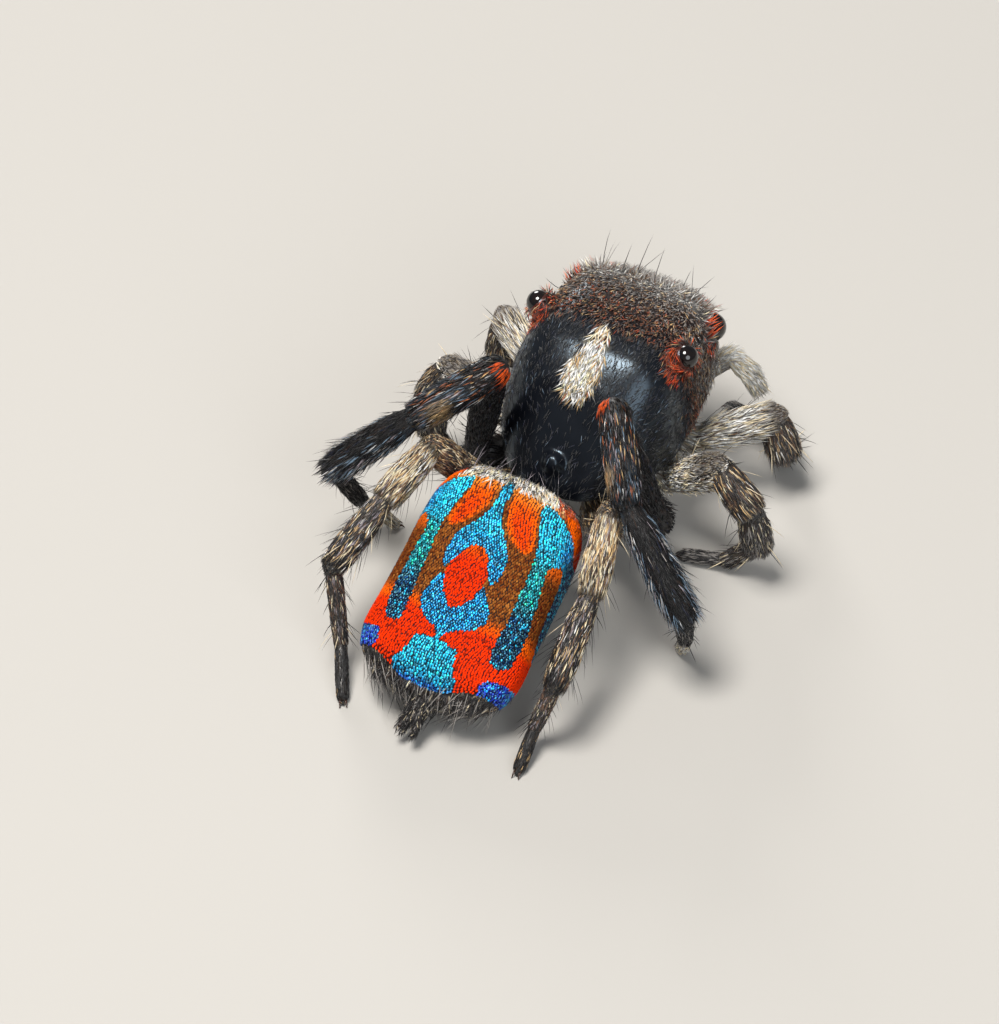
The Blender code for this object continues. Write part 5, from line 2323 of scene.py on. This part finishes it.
@dataclass
class Skin:
    """The one skin of all soft parts: legs, breast, waist, abdomen, feelers, spinnerets."""

    legs: list[Leg]
    abdomen: Abdomen
    mouth: Mouthparts
    voxel: float = .0222
    waist: tuple = ((0, -.80, .70), (0, -1.08, .73), (0, -1.34, .84))
    waist_radii: tuple = (.075, .062, .085)
    reach: float = 1.6
    shadow: float = .35
    spinneret_hairs: int = 1500

    def breast(self) -> tuple[Array, list]:
        """The breastplate between the leg roots.

        Returns:
            Points and faces.
        """
        stations = ((-.88, .05, .62, .76), (-.82, .09, .56, .82), (-.55, .19, .50, .87),
                    (-.2, .23, .47, .88), (.15, .23, .48, .90), (.42, .20, .50, .92),
                    (.52, .27, .52, .94), (.66, .24, .56, .95), (.73, .15, .62, .90))
        turn = TURN * np.arange(40) / 40
        return loft([columns(half * power(np.cos(turn), .7), np.full(40, y),
                             (low + top) / 2 + (top - low) / 2 * power(np.sin(turn), .8))
                     for y, half, low, top in stations])

    def spinnerets(self) -> list[tuple[Array, list]]:
        """The ring and the three pairs of spinnerets.

        Returns:
            Points and faces of each body.
        """
        line = turned(np.array(((0, -3.29, .30), (0, -3.36, .265), (0, -3.43, .222))))
        parts = [tube(line, [.10, .105, .08], 24, 14)]
        for x, z, length in ((.045, .185, .16), (.062, .245, .19), (.030, .285, .12)):
            for side in SIDES:
                start = turned(np.array((side * x * .8, -3.38, z)))
                end = turned(np.array((side * x * 1.25, -3.41 - length, z - .07)))
                parts.append(tube([start, (start + end) / 2 + (0, 0, .01), end],
                                  [.034, .030, .016], 14, 14))
        return parts

    def spinneret_coat(self, rng: Rng) -> Batch:
        """Short grey hair on the spinnerets.

        Args:
            rng: the draw.

        Returns:
            The roots.
        """
        root, normal = scatter(rng, *join(self.spinnerets()), int(self.spinneret_hairs * DENSITY))
        count = len(root)
        rear = unit(np.array((0, -1.0, -.5)))
        way = scatter_turn(rng, lie_along(rear, normal), normal, .3, .3)
        tint = pick(rng, count, GREY=1.4, SOOT=5, BLACK=3, CREAM=.6)
        around = round_share(normal[:, 2], normal[:, 0])
        spot = columns(np.clip(-root[:, 1] - 3.2, 0, 1) * 1.8, around)
        length = rng.uniform(.04, .08, count)
        batch = Batch(root, way, normal, length, np.full(count, .008), tint, way * 0, spot)
        return batch.above_floor()

    def build(self, finish: bpy.types.Material) -> bpy.types.Object:
        """Joins the bodies into one closed skin and paints the coat's markings on it.

        Args:
            finish: its material.

        Returns:
            The object.
        """
        parts = [s.body(26) for leg in self.legs for s in leg.segments]
        parts += [self.breast(), self.abdomen.body()] + self.spinnerets() + self.mouth.bodies()
        parts.append(tube(self.waist, self.waist_radii, 24, 20))
        raw = mesh_object("skin_raw", *join(parts))
        remesh = raw.modifiers.new("skin", "REMESH")
        remesh.mode = "VOXEL"
        remesh.voxel_size = self.voxel
        relax = raw.modifiers.new("relax", "SMOOTH")
        relax.factor = .5
        relax.iterations = 3
        bpy.context.view_layer.update()
        graph = bpy.context.evaluated_depsgraph_get()
        mesh = bpy.data.meshes.new_from_object(raw.evaluated_get(graph))
        bpy.data.objects.remove(raw)
        points = coordinates(mesh)
        points[:, 2] = np.maximum(points[:, 2], 0)
        mesh.vertices.foreach_set("co", to_metres(points).astype(np.float32).ravel())
        mesh.update()
        mesh.shade_smooth()
        mesh.name = "skin"
        paint(mesh, self.colour(points))
        mesh.materials.clear()
        mesh.materials.append(finish)
        return new_object("skin", mesh)

    def colour(self, p: Array) -> Array:
        """The coat's average colours, darker, on the nearest part of the skin.

        Args:
            p: places, one a row.

        Returns:
            The colours.
        """
        tint = np.tile(Paint.UMBER.rgb * .6, (len(p), 1))
        best = np.full(len(p), self.reach)
        for leg in self.legs:
            for seg in leg.segments:
                t, gap = seg.nearest(p)
                gap = gap / seg.radius
                palette = leg.palette(seg.index)
                mean = sum(Paint[name].rgb * w for name, w in palette.items())
                mean = mean / sum(palette.values()) * self.shadow
                own = leg.shade(seg.index, t, t * 0 + 1.57, np.tile(mean, (len(p), 1)))
                closer = gap < best
                tint = np.where(closer[:, None], own, tint)
                best = np.where(closer, gap, best)
        return tint


@dataclass
class Claws:
    """Two hooked claws on every foot."""

    length: float = .085
    width: float = .026
    root_apart: float = .018
    tip_apart: float = .030

    def build(self, legs: list[Leg], horn: bpy.types.Material) -> None:
        """Makes all sixteen claws as one piece.

        Args:
            legs: the eight legs.
            horn: the material of claws and fangs.
        """
        hooks = []
        for leg in legs:
            seg = leg.segments[5]
            along = unit(seg.along * np.array((1, 1, .0)))
            across = unit(np.cross(along, (0, 0, 1.0)))
            for side in (-1, 1):
                base = seg.end + across * (side * self.root_apart)
                base[2] = .040
                tip = seg.end + across * (side * self.tip_apart) + along * self.length
                tip[2] = .006
                middle = (base + tip) / 2
                middle[2] += .020
                hooks.append(tube([base, middle, tip], [self.width / 2, self.width / 2.6, .003],
                                  12, 16))
        dress(mesh_object("claws", *join(hooks), horn))


@dataclass
class Studio:
    """The pale floor, the soft lights and the camera."""

    floor_half: float = 400.0
    azimuth: float = math.radians(27.0)
    elevation: float = math.radians(45.0)
    roll: float = math.radians(0.8)
    pixels_per_mm: float = 118.4
    distance: float = 110.0
    image: tuple[int, int] = (999, 1024)
    eyes_pixel: tuple[float, float] = (612.5, 329.0)
    eyes_point: tuple[float, float, float] = (0.0, 0.0, 1.83)
    depth_point: tuple[float, float, float] = (0.0, -1.2, 1.0)
    sensor: float = 36.0
    light_distance: float = 60.0
    lit_point: tuple[float, float, float] = (0.0, -1.1, .9)

    def camera(self) -> None:
        """Sets the camera so that the middle of the rear eyes falls on its pixel."""
        ce, se = math.cos(self.elevation), math.sin(self.elevation)
        ca, sa = math.cos(self.azimuth), math.sin(self.azimuth)
        back = np.array((sa * ce, -ca * ce, se))
        right = np.array((ca, sa, 0.0))
        up = np.cross(back, right)
        x = (self.image[0] / 2 - self.eyes_pixel[0]) / self.pixels_per_mm
        y = (self.eyes_pixel[1] - self.image[1] / 2) / self.pixels_per_mm
        cr, sr = math.cos(self.roll), math.sin(self.roll)
        eyes = np.array(self.eyes_point)
        aim = eyes + right * (x * cr - y * sr) + up * (x * sr + y * cr)
        aim = aim + back * ((np.array(self.depth_point) - eyes) @ back)
        data = bpy.data.cameras.new("camera")
        data.sensor_width = self.sensor
        data.lens = self.pixels_per_mm * self.sensor * self.distance / max(self.image)
        data.clip_start = .0005
        data.clip_end = 5.0
        obj = new_object("camera", data)
        place = to_metres(aim + back * self.distance)
        rows = columns(right * cr + up * sr, up * cr - right * sr, back, place)
        obj.matrix_world = Matrix([*rows.tolist(), (0, 0, 0, 1)])
        bpy.context.scene.camera = obj

    def light(self, name: str, way: tuple, size: float, watts: float, colour: tuple) -> None:
        """Adds one soft round light that looks at the spider from far off.

        Args:
            name: the light's name.
            way: where it stands, seen from the spider.
            size: its width, in millimetres.
            watts: its power.
            colour: its colour.
        """
        data = bpy.data.lights.new(name, "AREA")
        data.shape = "DISK"
        data.size = size * MM
        data.energy = watts
        data.color = colour
        obj = new_object(name, data)
        direction = unit(np.array(way))
        obj.location = Vector(to_metres(np.array(self.lit_point) + direction * self.light_distance))
        obj.rotation_mode = "QUATERNION"
        obj.rotation_quaternion = Vector(direction).to_track_quat("Z", "Y")

    def build(self) -> None:
        """Makes floor, lights, world and camera."""
        h = self.floor_half
        corners = np.array(((-h, -h, 0), (h, -h, 0), (h, h, 0), (-h, h, 0)))
        floor = mesh_object("floor", corners, [(0, 1, 2, 3)], FloorFinish("floor_card").build())
        world = bpy.data.worlds.new("studio")
        world.use_nodes = True
        sky = world.node_tree.nodes["Background"]
        sky.inputs["Color"].default_value = (.80, .83, .88, 1)
        sky.inputs["Strength"].default_value = .22
        bpy.context.scene.world = world
        self.light("key", (-.15, -.24, 1.0), 26, .054, (1.0, .97, .93))
        self.light("fill", (1.0, -.9, .9), 40, .0168, (.92, .96, 1.0))
        self.light("rim", (-.9, 1.0, .55), 20, .018, (1.0, .98, .95))
        self.camera()
        bpy.context.scene.view_settings.view_transform = "Standard"


def dress(obj: bpy.types.Object, nodes: list[str] | None = None) -> None:
    """Makes a piece ride on the spider and stand for its solids, and logs its triangle count.

    Args:
        obj: the piece.
        nodes: the solids that it replaces.
    """
    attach(obj, "root")
    if nodes:
        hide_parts(*nodes)
    faces = sum(len(p.vertices) - 2 for p in obj.data.polygons)
    LOG.info("%s: %d triangles", obj.name, faces)


def build_spider() -> None:
    """Builds every piece of the spider in order."""
    abdomen = Abdomen()
    fan = Fan(abdomen)
    head = Head()
    mouth = Mouthparts()
    legs = [Leg(name) for name in LEG_JOINTS]
    skin = Skin(legs, abdomen, mouth)
    horn = HornFinish("dark_horn").build()

    skin_nodes = [n for leg in legs for n in leg.nodes]
    skin_nodes += ["breastplate", "waist", "abdomen", "spinnerets", "palp_R", "palp_L"]
    dress(skin.build(SkinFinish("tough_skin").build()), skin_nodes)
    dress(head.body(ShellFinish("polished_shell").build()), ["carapace"])
    head.lenses(LensFinish("wet_eye").build())
    mouth.jaws(ShellFinish("jaw_shell", polish=.28, pits_per_mm=30).build(), horn)
    Claws().build(legs, horn)
    dress(fan.body(FanSkinFinish("fan_plate").build()), ["fan"])

    tree = TuftTree("tufts")
    rng = np.random.default_rng(SEED)
    scale = ScaleShape("scale_shape")
    scale_finish = ScaleFinish("fan_scale").build()
    for side, batch in fan.scales(rng).items():
        dress(tree.grow(f"fan_scale_coat_{side}", batch, scale, scale_finish, 0.0))
    short = Blade("tuft_blade"), HairFinish("body_hair").build()
    brush = short[0], HairFinish("brush_hair", root_shade=.5, sheen=.08, specular=.22).build()
    long = (Blade("bristle_blade", ((0, .75), (.35, 1.0), (.72, .72))),
            HairFinish("bristle_hair", roughness=.30, root_shade=.8, sheen=0).build())
    coats = [
        ("fan_fringe", fan.fringe, short, "fan_scales"),
        ("fan_long_hair", fan.long_hair, long, "fan_scales"),
        ("abdomen_coat", abdomen.coat, short, "abdomen_skin"),
        ("spinneret_coat", skin.spinneret_coat, short, "spinneret"),
        ("head_coat", head.coat, short, "head_shell"),
        ("eye_field_coat", head.field_coat, short, "head_shell"),
        ("face_coat", head.face_coat, short, "head_shell"),
        ("head_bristles", head.bristles, long, "head_shell"),
        ("mouth_coat", mouth.coat, short, "palp"),
    ]
    slots = {"leg1": "leg_front", "leg2": "leg_front", "leg3": "leg_third", "leg4": "leg_rear"}
    for leg in legs:
        hair = brush if leg.kind == "leg3" else short
        coats.append((f"{leg.name}_coat", leg.coat, hair, slots[leg.kind]))
        coats.append((f"{leg.name}_bristles", leg.bristles, long, slots[leg.kind]))
    for name, roots, (shape, finish), slot in coats:
        dress(tree.grow(name, roots(rng), shape, finish))


def main() -> None:
    """Builds the studio and the spider."""
    logging.basicConfig(level=logging.INFO, format="%(name)s %(message)s")
    Studio().build()
    build_spider()


if __name__ == "__main__":
    main()
